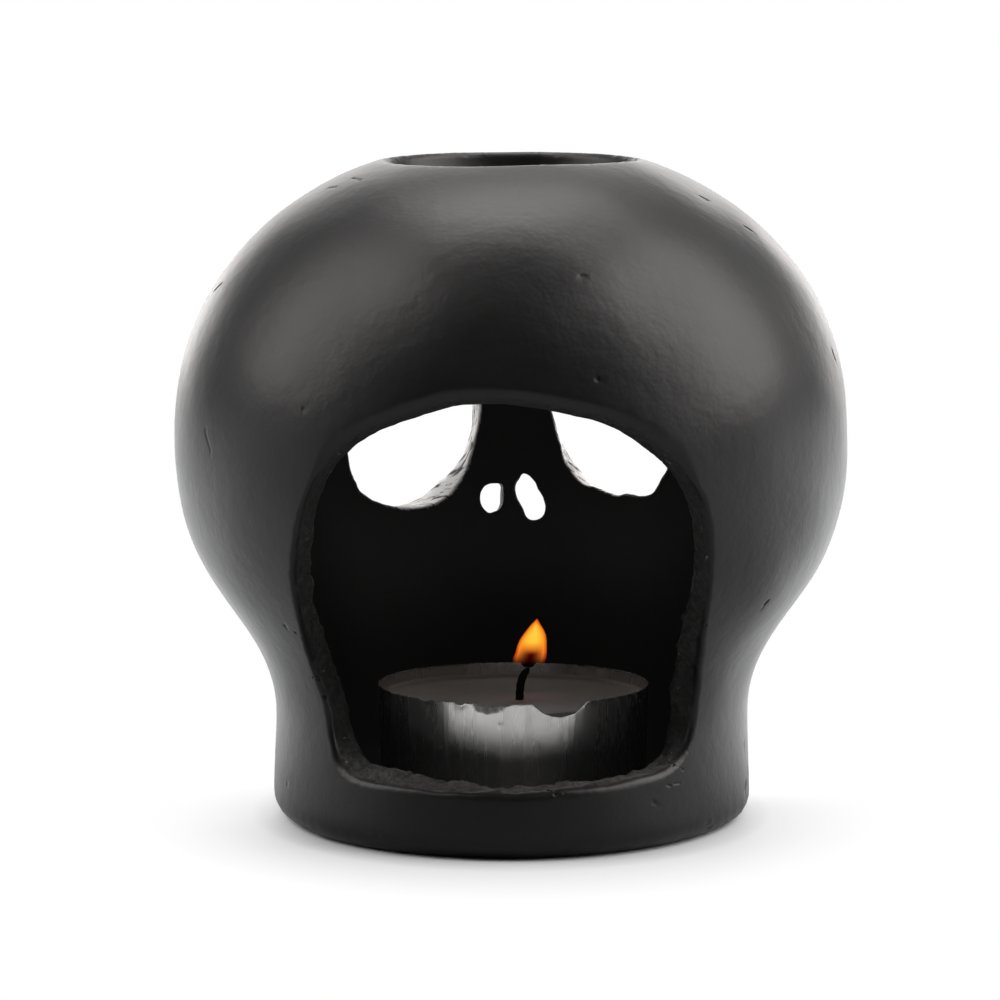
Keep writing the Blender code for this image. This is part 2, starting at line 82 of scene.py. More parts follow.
# Door: its outer edge in mm as (x, height), from the top down each side to the sill's middle.
DOOR_LEFT = (
    (0.2, 63.0), (4.1, 63.2), (9.4, 62.7), (14.6, 60.6), (19.9, 58.4), (22.6, 56.6), (25.3, 53.7),
    (27.0, 50.9), (28.4, 47.2), (29.3, 42.7), (29.5, 39.9), (29.5, 37.0), (28.9, 33.3),
    (28.3, 28.6), (27.2, 24.9), (26.1, 21.2), (25.2, 18.5), (24.7, 14.3), (24.2, 12.1),
    (23.4, 10.5), (21.7, 9.7), (17.8, 9.6), (5.6, 9.3), (0.0, 9.3),
)
DOOR_RIGHT = (
    (-4.4, 62.3), (-10.3, 61.1), (-15.6, 59.2), (-19.5, 56.6), (-22.9, 53.7), (-24.9, 50.7),
    (-26.1, 47.2), (-26.7, 42.3), (-26.8, 38.0), (-26.0, 32.2), (-25.5, 26.0), (-25.3, 21.4),
    (-24.9, 17.1), (-24.4, 13.7), (-23.0, 11.9), (-20.9, 10.9), (-17.4, 10.2), (-11.9, 9.9),
    (-6.5, 9.5),
)
DOOR_LIP = 0.0022
DOOR_SIDE_LIP = 0.0005
SILL_LIP = 0.0010
# The heights over which its lip changes from the sides' to the arch's, and to the sill's.
ARCH_STARTS, ARCH_FULL = 0.0505, 0.0560
SILL_STARTS, SILL_FULL = 0.0140, 0.0110
# The knife's wander, and its lean: to the side, and up along the sill.
WANDER, WANDER_LENGTH = 0.00008, 0.010
LEAN_ASIDE = 0.0012
SILL_RISE, SILL_RISE_LEFT = 0.0012, 0.0022
CUT_THROUGH = 1.7 * WALL
CUTTER_NEAR, CUTTER_FAR = 0.0105, 0.0700
# How far past the chamber's skin the eyes' and nostrils' cutters start.
CUTTER_START = (0.0, 0.0080, 0.00096)

# Eyes and nostrils: their edges on the chamber's side and the face's side, in the photo's pixels.
EYE_LEFT_INSIDE = (
    (480.4, 404), (477, 425), (472, 449), (466, 467), (458.6, 481), (449, 494), (435.6, 503),
    (420, 506.5), (405.8, 507.7), (395, 507), (385, 505.1), (375, 502), (369, 499.4), (364, 495),
    (359.9, 492.5), (356, 483), (351.8, 471.8), (348.4, 453), (346, 430), (347, 405), (356, 378),
    (375, 358), (402, 348), (432, 347), (460, 356), (476, 375),
)
EYE_LEFT_OUTSIDE = (
    (470.1, 404), (468.9, 426), (465.5, 442), (458.6, 458), (444.8, 474), (428.7, 488),
    (415, 498.3), (403.5, 504), (385, 507), (362, 503), (345, 492), (335, 472), (331, 440),
    (333, 405), (344, 375), (368, 352), (398, 341), (430, 343), (455, 356), (467, 378),
)
EYE_RIGHT_INSIDE = (
    (552.7, 408.7), (556.2, 421.3), (559.6, 430.5), (563, 451.2), (564.6, 460), (571.1, 469.6),
    (578, 478.7), (584.9, 483.8), (594, 486), (605.5, 489), (613, 493), (619.3, 496),
    (622.8, 491.8), (630.8, 493), (637.7, 496), (644.6, 496.9), (651.5, 494.8), (655.6, 490.2),
    (657.2, 484.5), (660.7, 478.7), (666.4, 470), (671, 448), (671, 418), (661, 385), (640, 360),
    (610, 348), (580, 351), (560, 369), (551, 390),
)
EYE_RIGHT_OUTSIDE = (
    (556.2, 408.7), (561.5, 432.8), (568.5, 446), (580.5, 463.5), (593, 479.5), (604, 486.3),
    (612.4, 490.5), (625, 497), (640, 501), (655, 499), (667, 488), (676, 468), (680, 440),
    (677, 405), (664, 374), (645, 352), (615, 342), (585, 345), (565, 363), (556, 387),
)
NOSTRIL_LEFT_INSIDE = (
    (480.4, 499.4), (481.5, 492.5), (485, 486.8), (489.6, 484.3), (497, 483.8), (502.5, 484.5),
    (503.8, 494.8), (502.5, 503), (498, 509.7), (489.6, 512.7), (485, 509.7), (481.5, 504),
)
NOSTRIL_LEFT_OUTSIDE = (
    (479, 499.4), (480, 492), (484, 485.5), (489.6, 483), (499.3, 484.3), (500, 489),
    (499.9, 494.8), (499, 504), (495.3, 511), (489.6, 514), (484, 511), (480, 505),
)
NOSTRIL_RIGHT_INSIDE = (
    (523.6, 473.7), (526.8, 476), (532.1, 479.2), (535.5, 483.3), (537.8, 490.2), (542.4, 497.1),
    (544.9, 505.1), (544.7, 512), (542.4, 516.6), (537.8, 519.6), (532.1, 520.5), (527.9, 518.5),
    (525.2, 514.3), (524, 508.6), (521.7, 504), (517.8, 498.3), (516, 491.4), (516, 485.6),
    (518.3, 482.2), (521, 478.7), (521.5, 475.3),
)
EYE_LIP = 0.0009
NOSTRIL_LIP = 0.0005
NOSTRIL_FLARE = 1.1

# Relief of the face: offset, height, spread across, spread up, and how far out.
RELIEF = (
    (0.0165, 0.0680, 0.0105, 0.0040, 0.0024),
    (0.0000, 0.0640, 0.0055, 0.0045, 0.0010),
    (0.0169, 0.0510, 0.0100, 0.0115, -0.0024),
    (0.0245, 0.0335, 0.0075, 0.0044, 0.0026),
    (0.0240, 0.0195, 0.0065, 0.0060, -0.0016),
    (0.0000, 0.0510, 0.0032, 0.0070, 0.0016),
    (0.0000, 0.0385, 0.0052, 0.0052, -0.0014),
    (0.0000, 0.0160, 0.0150, 0.0095, 0.0030),
)
TEETH_PER_ROW = 8
TOOTH_PITCH = 0.0048
TOOTH_GAP = 0.0007
TOOTH_STAND = 0.0014
TOOTH_DEPTH = 0.0042
TOOTH_EDGE = 0.0012
BITE_HEIGHT = 0.0118
BITE_GAP = 0.0008
TOOTH_HEIGHTS = (0.0078, 0.0064)

# Fineness of the meshes, and how near a cut's face or an edge counts as on it.
VOXEL = 0.00124
CUT_REACH = 0.0006
EDGE_REACH = 0.0010
COLUMNS = 220
DOME_ROWS = 46
NECK_ROWS = 44
FOOT_ROWS = 12
EDGE_ROWS = 8
SAMPLES = 400


# Making meshes.
def new_object(name, data):
    obj = bpy.data.objects.new(name, data)
    bpy.context.scene.collection.objects.link(obj)
    return obj


def remove(obj):
    bpy.data.objects.remove(obj)


def lofted(name, rings, capped=True):
    """A body through rings, given as an array of rows by columns by 3, with a lid on each end."""
    rows, columns, _ = rings.shape
    index = np.arange(rows * columns).reshape(rows, columns)
    after = np.roll(index, -1, axis=1)
    quads = np.stack((index[:-1], after[:-1], after[1:], index[1:]), axis=-1).reshape(-1, 4)
    faces = quads.tolist()
    if capped:
        faces += [index[0][::-1].tolist(), index[-1].tolist()]
    mesh = bpy.data.meshes.new(name)
    mesh.from_pydata(rings.reshape(-1, 3).tolist(), [], faces)
    bm = bmesh.new()
    bm.from_mesh(mesh)
    bmesh.ops.recalc_face_normals(bm, faces=bm.faces)
    bm.to_mesh(mesh)
    bm.free()
    return new_object(name, mesh)


def turns(count):
    """Angles at equal steps once round."""
    return np.arange(count) * math.tau / count


def turned_rings(rows, columns):
    """Rings from rows of radius and height, each of them one number or one for each column."""
    angles = turns(columns)
    rings = np.empty((len(rows), columns, 3))
    for ring, (radius, height) in zip(rings, rows):
        ring[:, 0] = radius * np.cos(angles)
        ring[:, 1] = radius * np.sin(angles)
        ring[:, 2] = height
    return rings


def unit(vectors):
    return vectors / np.linalg.norm(vectors, axis=1)[:, None]


def points_of(mesh, field="co"):
    """The places of the mesh's points, or their normals."""
    values = np.empty(len(mesh.vertices) * 3)
    mesh.vertices.foreach_get(field, values)
    return values.reshape(-1, 3)


def set_points(mesh, points):
    mesh.vertices.foreach_set("co", points.astype(np.float32).ravel())
    mesh.update()


def modified(obj, kind, **settings):
    """A new object with the mesh that a modifier gives, in place of the old one."""
    modifier = obj.modifiers.new(kind, kind)
    for key, value in settings.items():
        setattr(modifier, key, value)
    graph = bpy.context.evaluated_depsgraph_get()
    mesh = bpy.data.meshes.new_from_object(obj.evaluated_get(graph))
    name = obj.name
    remove(obj)
    return new_object(name, mesh)


def cut(obj, cutters):
    for cutter in cutters:
        obj = modified(obj, "BOOLEAN", operation="DIFFERENCE", object=cutter, solver="MANIFOLD")
    return obj


def relax(mesh, rounds, share=0.5):
    """Moves each point towards the mean of its neighbours, a little at a time."""
    points = points_of(mesh)
    edges = np.empty(len(mesh.edges) * 2, dtype=np.int64)
    mesh.edges.foreach_get("vertices", edges)
    a, b = edges.reshape(-1, 2).T
    count = np.bincount(np.concatenate((a, b)), minlength=len(points))[:, None]
    for _ in range(rounds):
        total = np.zeros_like(points)
        for axis in range(3):
            total[:, axis] = np.bincount(a, points[b, axis], len(points))
            total[:, axis] += np.bincount(b, points[a, axis], len(points))
        points += share * (total / count - points)
    set_points(mesh, points)


def waves(points, length, seed, count=14):
    """Smooth noise from -1 to 1 about, as a sum of plane waves of one wavelength."""
    dice = np.random.default_rng(seed)
    directions = unit(dice.normal(size=(count, 3)))
    phases = dice.uniform(0, math.tau, count)
    return np.sin(points @ directions.T * (math.tau / length) + phases).sum(1) / math.sqrt(count)


def grain(points, size, seed):
    """Perlin noise at points, for rough faces."""
    shift = Vector((seed * 7.3, seed * 3.1, seed * 5.7))
    return np.array([noise.noise(Vector(p) / size + shift) for p in points])


def ease(values, low, high):
    """0 up to low, 1 from high on, and smooth between them."""
    t = ((values - low) / (high - low)).clip(0, 1)
    return t * t * (3 - 2 * t)


# The skull's form.
def quarter(a, fullness):
    return np.cos(a).clip(0) ** (2 / fullness), np.sin(a).clip(0) ** (2 / fullness)


def upright(reach):
    """One upright profile of the body as (reach, height) from the foot to the top."""
    foot, waist, head = reach
    t = np.linspace(0, 1, SAMPLES)
    corner = np.radians(90) * t
    edge = (
        foot - FOOT_EDGE_RADIUS * (1 - np.sin(corner)),
        FOOT_EDGE_RADIUS * (1 - np.cos(corner)),
    )
    low = (
        foot + (waist - foot) * ease(t, 0, 1),
        FOOT_EDGE_RADIUS + (WAIST_HEIGHT - FOOT_EDGE_RADIUS) * t,
    )
    u = 1 - t
    rise = u**3 * WAIST_HEIGHT + t**3 * HEAD_HEIGHT
    rise += 3 * u * u * t * (WAIST_HEIGHT + WAIST_PULL) + 3 * u * t * t * (HEAD_HEIGHT - HEAD_PULL)
    neck = (waist * (u**3 + 3 * u * u * t) + head * (t**3 + 3 * u * t * t), rise)
    across, up = quarter(corner, DOME_FULLNESS)
    dome = (head * across, HEAD_HEIGHT + DOME_HEIGHT * up)
    parts = [np.column_stack(part)[1:] for part in (edge, low, neck, dome)]
    return np.vstack(parts)


def inset(curve, depth):
    along = unit(np.gradient(curve, axis=0))
    return np.column_stack((curve[:, 0] - depth * along[:, 1], curve[:, 1] + depth * along[:, 0]))


UPRIGHTS = {depth: [inset(upright(r), depth) for r in (SIDE, BACK, FACE)] for depth in (0.0, WALL)}


def reaches(heights, depth=0.0):
    return [np.interp(heights, curve[:, 1], curve[:, 0]) for curve in UPRIGHTS[depth]]


def relief(x, height):
    total = np.zeros_like(x)
    for offset, level, across, up, stand in RELIEF:
        for middle in {offset, -offset}:
            away = ((x - middle) / across) ** 2 + ((height - level) / up) ** 2
            total += stand * np.exp(-away / 2)
    return total


def with_relief(points):
    """Points of the face moved out by the relief, and any others as they are."""
    x, y, z = points.T
    face = reaches(z)[2]
    turn_in = np.clip(-y / face, 0, 1)
    flat = unit(np.column_stack((x, y, np.zeros_like(x))))
    return points + flat * (relief(x, z) * turn_in)[:, None]


def body_rings(heights, columns, depth=0.0, extra=None):
    c, s = np.cos(turns(columns)), np.sin(turns(columns))
    side, back, face = reaches(heights, depth)
    if extra is not None:
        side, back, face = side - extra, back - extra, face - extra
    x = side[:, None] * c
    y = np.where(s > 0, back[:, None] * s, face[:, None] * s)
    return np.stack((x, y, np.broadcast_to(heights[:, None], x.shape)), axis=-1)


def levels(depth, lowest):
    """Heights of the rings, from the top of the foot's edge up into the dish's mouth."""
    low = np.linspace(lowest, WAIST_HEIGHT, FOOT_ROWS, endpoint=False)[1:]
    neck = np.linspace(WAIST_HEIGHT, HEAD_HEIGHT, NECK_ROWS, endpoint=False)
    lid = math.acos((0.6 * DISH_RADIUS / HEAD_SIDE) ** (DOME_FULLNESS / 2))
    _, up = quarter(np.linspace(0, lid, DOME_ROWS), DOME_FULLNESS)
    return np.concatenate((low, neck, HEAD_HEIGHT + (DOME_HEIGHT - depth) * up))


def outer_body():
    edge = FOOT_EDGE_RADIUS * (1 - np.cos(np.linspace(0, math.pi / 2, EDGE_ROWS)))
    heights = np.concatenate((edge, levels(0.0, FOOT_EDGE_RADIUS)))
    rings = body_rings(heights, COLUMNS)
    shape = rings.shape
    return lofted("skull", with_relief(rings.reshape(-1, 3)).reshape(shape))


def inner_body():
    turn = np.linspace(0, math.pi / 2, EDGE_ROWS)
    fillet = FLOOR + FLOOR_FILLET * (1 - np.cos(turn))
    heights = np.concatenate((fillet, levels(WALL, FLOOR + FLOOR_FILLET)))
    extra = np.zeros_like(heights)
    extra[:EDGE_ROWS] = FLOOR_FILLET * (1 - np.sin(turn))
    return lofted("cavity", body_rings(heights, COLUMNS, WALL, extra))


def rim_height():
    share = (DISH_RADIUS / HEAD_SIDE) ** DOME_FULLNESS
    return HEAD_HEIGHT + DOME_HEIGHT * (1 - share) ** (1 / DOME_FULLNESS)


def bowl(name, grow):
    """The dish as a turned plug, grown by a wall, that stands up out of the crown."""
    radius, depth = DISH_RADIUS + grow, DISH_DEPTH + grow
    across, down = quarter(np.linspace(0, math.radians(88), 24), DISH_FULLNESS)
    slope = DISH_SLOPE * depth
    profile = [(radius + slope, rim_height() + depth)]
    profile += list(zip((radius - slope * down) * across, rim_height() - depth * down))
    return lofted(name, turned_rings(profile, 160))


def surface(x, height, towards):
    side, back, face = reaches(height)
    share = np.clip(np.abs(x) / side, 0, 0.999)
    y = towards * (back if towards > 0 else face) * np.sqrt(1 - share**2)
    points = np.column_stack((x, y, height))
    return with_relief(points) if towards < 0 else points


def surface_normals(x, height, towards):
    step = 0.0006
    across = surface(x + step, height, towards) - surface(x - step, height, towards)
    up = surface(x, height + step, towards) - surface(x, height - step, towards)
    normals = unit(np.cross(across, up))
    return normals * np.sign(normals[:, 1] * towards)[:, None]


def through_cut(name, outline, towards, lip, deep=None, lean=0.0):
    """A cutter through the wall along an outline, flared at the outside like a wiped edge. It
    goes square to the wall with some lean of the knife, or else to given points deeper in."""
    x, z = np.array(outline).T
    places = surface(x, z, towards)
    normals = surface_normals(x, z, towards)
    along = np.roll(places, -1, axis=0) - np.roll(places, 1, axis=0)
    outwards = unit(np.cross(along, normals))
    facing = ((places - places.mean(0)) * outwards).sum(1)
    outwards *= np.sign(facing.sum())
    if deep is None:
        deep = places - normals * CUT_THROUGH + lean
        near = deep.copy()
        near[:, 1] = CUTTER_NEAR * towards
    else:
        near = deep + CUTTER_START
    rings = [near, deep]
    for a in np.radians((0, 15, 30, 45, 60, 75)):
        back, aside = lip * (1 - math.sin(a)), lip * (1 - math.cos(a))
        rings.append(places - normals * back + outwards * aside)
    run = 1.2 * lip
    rings.append(rings[-1] + normals * run * math.cos(a) + outwards * run * math.sin(a))
    far = rings[-1].copy()
    far[:, 1] = CUTTER_FAR * towards
    return lofted(name, np.array(rings + [far]))


def resampled(points, shares):
    """Points at these shares of a line's length."""
    run = np.concatenate(([0], np.linalg.norm(np.diff(points, axis=0), axis=1).cumsum()))
    return np.column_stack([np.interp(shares * run[-1], run, points[:, i]) for i in range(2)])


def evened(outline, count):
    """The same closed outline with points at equal steps."""
    return resampled(np.vstack((outline, outline[:1])), np.arange(count) / count)


def rounded(line, rounds):
    for _ in range(rounds):
        line = line / 2 + (np.roll(line, 1, axis=0) + np.roll(line, -1, axis=0)) / 4
    return line


def hand_cut(line, size, length, seed):
    """The outline with the small wander of a knife held by hand."""
    ahead = np.roll(line, -1, axis=0) - np.roll(line, 1, axis=0)
    square = unit(np.column_stack((ahead[:, 1], -ahead[:, 0])))
    spots = np.column_stack((line, np.zeros(len(line))))
    wander = waves(spots, length, seed) + 0.5 * waves(spots, length / 3, seed + 1)
    return line + square * (size * wander)[:, None]


def spread_round(points, count):
    """An outline at equal angles round its middle, so that two outlines match point by point."""
    points = np.array(points)
    middle = (points.min(0) + points.max(0)) / 2
    dense = evened(points, 600) - middle
    angles = np.unwrap(np.arctan2(dense[:, 1], dense[:, 0]))
    order = np.argsort(angles % math.tau)
    turned_by = (angles % math.tau)[order]
    wanted = turns(count)
    around = [np.interp(wanted, turned_by, dense[order, i], period=math.tau) for i in range(2)]
    return np.column_stack(around) + middle


def seen_ray(px, py):
    """The direction from the camera's place through a point of the picture."""
    tilt = math.radians(CAMERA_TILT)
    across = (px - PHOTO_SIZE / 2) / PHOTO_SIZE * SENSOR_MM / LENS_MM
    down = (py - PHOTO_SIZE / 2) / PHOTO_SIZE * SENSOR_MM / LENS_MM
    ahead = Vector((0, -math.cos(tilt), -math.sin(tilt)))
    up = Vector((0, -math.sin(tilt), math.cos(tilt)))
    return (ahead + Vector((-1, 0, 0)) * across - up * down).normalized()


def on_far_side(tree, pixels):
    """Where the lines of sight leave a body, found from behind it."""
    found = []
    for px, py in pixels:
        ray = seen_ray(px, py)
        found.append(tree.ray_cast(CAMERA_PLACE + ray * 1.5, -ray)[0])
    return np.array(found)


def face_cut(name, inside, outside, lip, count, trees):
    """A cutter through the face between its edges on the two sides of the wall."""
    inner = on_far_side(trees[0], rounded(spread_round(inside, count), 2))
    outer = on_far_side(trees[1], rounded(spread_round(outside, count), 2))
    return through_cut(name, outer[:, (0, 2)], -1, lip, inner)


def door_cut():
    outline = np.array(DOOR_LEFT + DOOR_RIGHT[::-1]) * MM
    line = hand_cut(rounded(evened(outline, 300), 12), WANDER, WANDER_LENGTH, 3)
    x, z = line.T
    high = ease(z, ARCH_STARTS, ARCH_FULL)[:, None]
    low = ease(z, SILL_STARTS, SILL_FULL)[:, None]
    lip = DOOR_SIDE_LIP + (DOOR_LIP - DOOR_SIDE_LIP) * high + (SILL_LIP - DOOR_SIDE_LIP) * low
    aside = LEAN_ASIDE * np.where(x < 0, 1.0, ease(z, 0.040, 0.032)) * (1 - low[:, 0])
    raised = SILL_RISE * ease(x, -0.016, -0.008)
    raised = (raised + SILL_RISE_LEFT * ease(x, 0.0, 0.016)) * ease(z, 0.017, 0.012)
    lean = np.column_stack((aside, np.zeros_like(x), raised))
    return through_cut("door", line, 1, lip, lean=lean)


def face_cuts(body, cavity):
    trees = (tree_of(cavity.data), tree_of(body.data))
    eyes = [
        face_cut("eye_left", EYE_LEFT_INSIDE, EYE_LEFT_OUTSIDE, EYE_LIP, 180, trees),
        face_cut("eye_right", EYE_RIGHT_INSIDE, EYE_RIGHT_OUTSIDE, EYE_LIP, 180, trees),
    ]
    wide = np.array(NOSTRIL_RIGHT_INSIDE)
    wide = wide.mean(0) + (wide - wide.mean(0)) * NOSTRIL_FLARE
    nostrils = [
        face_cut("nostril_left", NOSTRIL_LEFT_INSIDE, NOSTRIL_LEFT_OUTSIDE, NOSTRIL_LIP, 80, trees),
        face_cut("nostril_right", NOSTRIL_RIGHT_INSIDE, wide, NOSTRIL_LIP, 80, trees),
    ]
    return eyes, nostrils


def tree_of(mesh):
    points = [v.co for v in mesh.vertices]
    return BVHTree.FromPolygons(points, [p.vertices[:] for p in mesh.polygons])


def nearness(points, objects, reach):
    """1 on the objects' surfaces, falling to 0 at this reach from them."""
    closest = np.full(len(points), reach)
    for obj in objects:
        tree = tree_of(obj.data)
        for i, point in enumerate(points):
            found = tree.find_nearest(Vector(point), reach)
            if found[3] is not None:
                closest[i] = min(closest[i], found[3])
    return 1 - closest / reach


def store(mesh, name, values):
    layer = mesh.attributes.get(name) or mesh.attributes.new(name, "FLOAT", "POINT")
    layer.data.foreach_set("value", values.astype(np.float32))


def skin_depth(points):
    """About how far each point lies under the skull's outer skin."""
    x, y, z = points.T
    side, back, face = reaches(z)
    reach = np.where(y > 0, back, face)
    share = np.sqrt((x / side) ** 2 + (y / reach) ** 2)
    return (1 - share) * (side + reach) / 2


def snapped(obj, form):
    """The object's points moved onto the nearest places of the form."""
    return modified(obj, "SHRINKWRAP", target=form, wrap_method="NEAREST_SURFACEPOINT")


def halve(mesh, edges_of, rounds=1):
    """Halves the edges that a function picks from the mesh, and triangulates the large faces."""
    bm = bmesh.new()
    bm.from_mesh(mesh)
    for _ in range(rounds):
        bmesh.ops.subdivide_edges(bm, edges=list(edges_of(bm)), cuts=1, use_grid_fill=True)
    bmesh.ops.triangulate(bm, faces=[f for f in bm.faces if len(f.verts) > 4])
    bm.normal_update()
    bm.to_mesh(mesh)
    bm.free()


def finer(obj, form, chosen):
    """The object with the edges that touch chosen points halved, and laid on the form again."""
    def touching(bm):
        bm.verts.ensure_lookup_table()
        return {e for i in np.flatnonzero(chosen) for e in bm.verts[i].link_edges}

    halve(obj.data, touching)
    return snapped(obj, form)


def creased(mesh, angle=0.35):
    """Which points lie on an edge between faces that meet at more than this angle."""
    bm = bmesh.new()
    bm.from_mesh(mesh)
    chosen = np.zeros(len(bm.verts), dtype=bool)
    for edge in bm.edges:
        if edge.calc_face_angle(0.0) > angle:
            chosen[edge.verts[0].index] = True
            chosen[edge.verts[1].index] = True
    bm.free()
    return chosen


def make_skull():
    body = outer_body()
    cavity = inner_body()
    eyes, nostrils = face_cuts(body, cavity)
    openings = [door_cut()] + eyes + nostrils
    boss = bowl("dish_boss", DISH_WALL)
    cavity = cut(cavity, [boss])
    dish = bowl("dish", 0.0)
    form = cut(body, [cavity, dish] + openings)
    body = new_object("skull", form.data.copy())
    body = modified(body, "REMESH", mode="VOXEL", voxel_size=VOXEL)
    relax(body.data, 5)
    body = snapped(body, form)
    body = finer(body, form, nearness(points_of(body.data), openings, CUT_REACH) > 0)
    relax(body.data, 1)
    body = snapped(body, form)
    for _ in range(2):
        beside = nearness(points_of(body.data), openings + [dish], EDGE_REACH) > 0
        body = finer(body, form, creased(body.data) & beside)
    relax(body.data, 1)
    mesh = body.data
    mesh.materials.clear()
    roughen(mesh, openings, eyes, dish)
    carve_marks(mesh)
    for tool in [form, cavity, boss, dish] + openings:
        remove(tool)
    mesh.shade_smooth()
    return body


# Hand-made unevenness: of the skin, and of the torn clay on the cut faces.
BROAD_WAVES, SMALL_WAVES = 0.00013, 0.00004
DOOR_ROUGHNESS, FACE_ROUGHNESS = 0.00050, 0.00014


def roughen(mesh, openings, eyes, dish):
    """Moves the points by the unevenness, and marks what the material needs to know of each."""
    points = points_of(mesh)
    x, y, z = points.T
    depth = skin_depth(points)
    cut_face = ease(nearness(points, openings, CUT_REACH), 0.35, 0.8)
    torn = cut_face * ease(depth, 0.0006, 0.0014)
    high = ease(z, 0.034, 0.054)
    door = (y > 0).astype(float)
    out = points_of(mesh, "normal")
    broad = BROAD_WAVES * waves(points, 0.030, 31) + SMALL_WAVES * waves(points, 0.012, 32)
    rough = np.zeros(len(points))
    some = torn > 0.02
    rough[some] = grain(points[some], 0.0032, 1) + 0.7 * grain(points[some], 0.0013, 2)
    size = DOOR_ROUGHNESS * (1 - 0.85 * high) * door + FACE_ROUGHNESS * (1 - door)
    points += out * (broad + size * rough * torn)[:, None]
    from_rim = np.hypot(x, y) - DISH_RADIUS
    crest = (1 - (from_rim / RIM_ROUNDING).clip(0, 1)) ** 2
    crest *= ease(z, 0.0840, 0.0890)
    points[:, 2] = (z - RIM_DROP * crest).clip(0.0)
    set_points(mesh, points)
    under_skin = ease(depth, 0.0002, 0.0008)
    # Bare clay and painted reflection: the eyes' cut faces on the nose side, painted pale as the
    # bright surroundings show in them.
    bare_clay_and_reflection = ease(nearness(points, eyes, CUT_REACH), 0.35, 0.7) * under_skin
    nose_side = ease(np.abs(x), 0.0190, 0.0140)
    in_dish = nearness(points, [dish], EDGE_REACH)
    # Dust and painted sheen: the door's cut faces low at the sill that point up, lighter where dust
    # lies and where they catch the light.
    dust_and_sheen = cut_face * door * ease(z, 0.0175, 0.0125) * ease(out[:, 2], 0.2, 0.7)
    store(mesh, "cut", torn)
    store(mesh, "dust_and_sheen", dust_and_sheen * under_skin)
    store(mesh, "bare_clay_and_reflection", bare_clay_and_reflection * nose_side)
    store(mesh, "inside", ease(depth, 0.0022, 0.0032) * (1 - torn) * (1 - in_dish))


# Marks in the glaze, from first to last point in the picture, with width and depth in mm.
MARKS = (
    ((303, 409), (303, 410), 0.30, 0.16), ((597, 379), (598, 380), 0.35, 0.20),
    ((581, 275), (581, 276), 0.30, 0.14), ((764, 605), (768, 601), 0.35, 0.28),
    ((285, 625), (285, 626), 0.28, 0.20), ((295, 632), (296, 633), 0.25, 0.18),
    ((318, 678), (319, 679), 0.30, 0.24), ((313, 677), (313, 678), 0.22, 0.16),
    ((324, 697), (325, 697), 0.28, 0.22), ((287, 783), (287, 784), 0.26, 0.20),
    ((307, 828), (309, 829), 0.30, 0.20), ((706, 625), (706, 626), 0.24, 0.16),
    ((748, 768), (748, 774), 0.30, 0.26), ((746, 782), (745, 789), 0.30, 0.26),
    ((744, 742), (744, 745), 0.24, 0.18), ((708, 828), (713, 826), 0.30, 0.16),
    ((372, 841), (390, 844), 0.20, 0.10), ((667, 785), (671, 786), 0.22, 0.12),
    ((674, 784), (680, 783), 0.20, 0.10), ((653, 802), (657, 804), 0.30, 0.14),
    ((658, 806), (662, 805), 0.20, 0.10), ((673, 765), (683, 770), 0.25, 0.12),
    ((548, 790), (556, 795), 0.35, 0.20), ((700, 196), (709, 201), 0.25, 0.16),
    ((744, 226), (752, 231), 0.25, 0.16), ((832, 350), (836, 362), 0.30, 0.22),
    ((353, 178), (361, 180), 0.25, 0.16), ((328, 188), (336, 187), 0.25, 0.14),
    ((214, 291), (222, 283), 0.28, 0.16), ((205, 430), (211, 452), 0.22, 0.10),
)


def carve_marks(mesh):
    """Small pits and scratches, in a finer mesh where they are."""
    tree = tree_of(mesh)
    lines = []
    for first, last, width, depth in MARKS:
        ends = [tree.ray_cast(CAMERA_PLACE, seen_ray(*end))[0] for end in (first, last)]
        if None not in ends:
            lines.append((*ends, width * MM, depth * MM))

    def beside(bm):
        near = set()
        for first, last, width, _ in lines:
            room = (last - first).length / 2 + width * 2.2 + 0.0004
            middle = (first + last) / 2
            near.update(e for e in bm.edges if (e.verts[0].co - middle).length < room)
        return near

    halve(mesh, beside, 2)
    points = points_of(mesh)
    out = points_of(mesh, "normal")
    pressed = np.zeros(len(points))
    for first, last, width, depth in lines:
        a, run = np.array(first), np.array(last - first)
        share = ((points - a) @ run / max(run @ run, 1e-12)).clip(0, 1)
        away = np.linalg.norm(points - a - share[:, None] * run, axis=1)
        pressed = np.maximum(pressed, depth * np.exp(-((away / (width * 0.6)) ** 2)))
    set_points(mesh, points - out * pressed[:, None])
    store(mesh, "mark", ease(pressed, 0.00002, 0.00012))


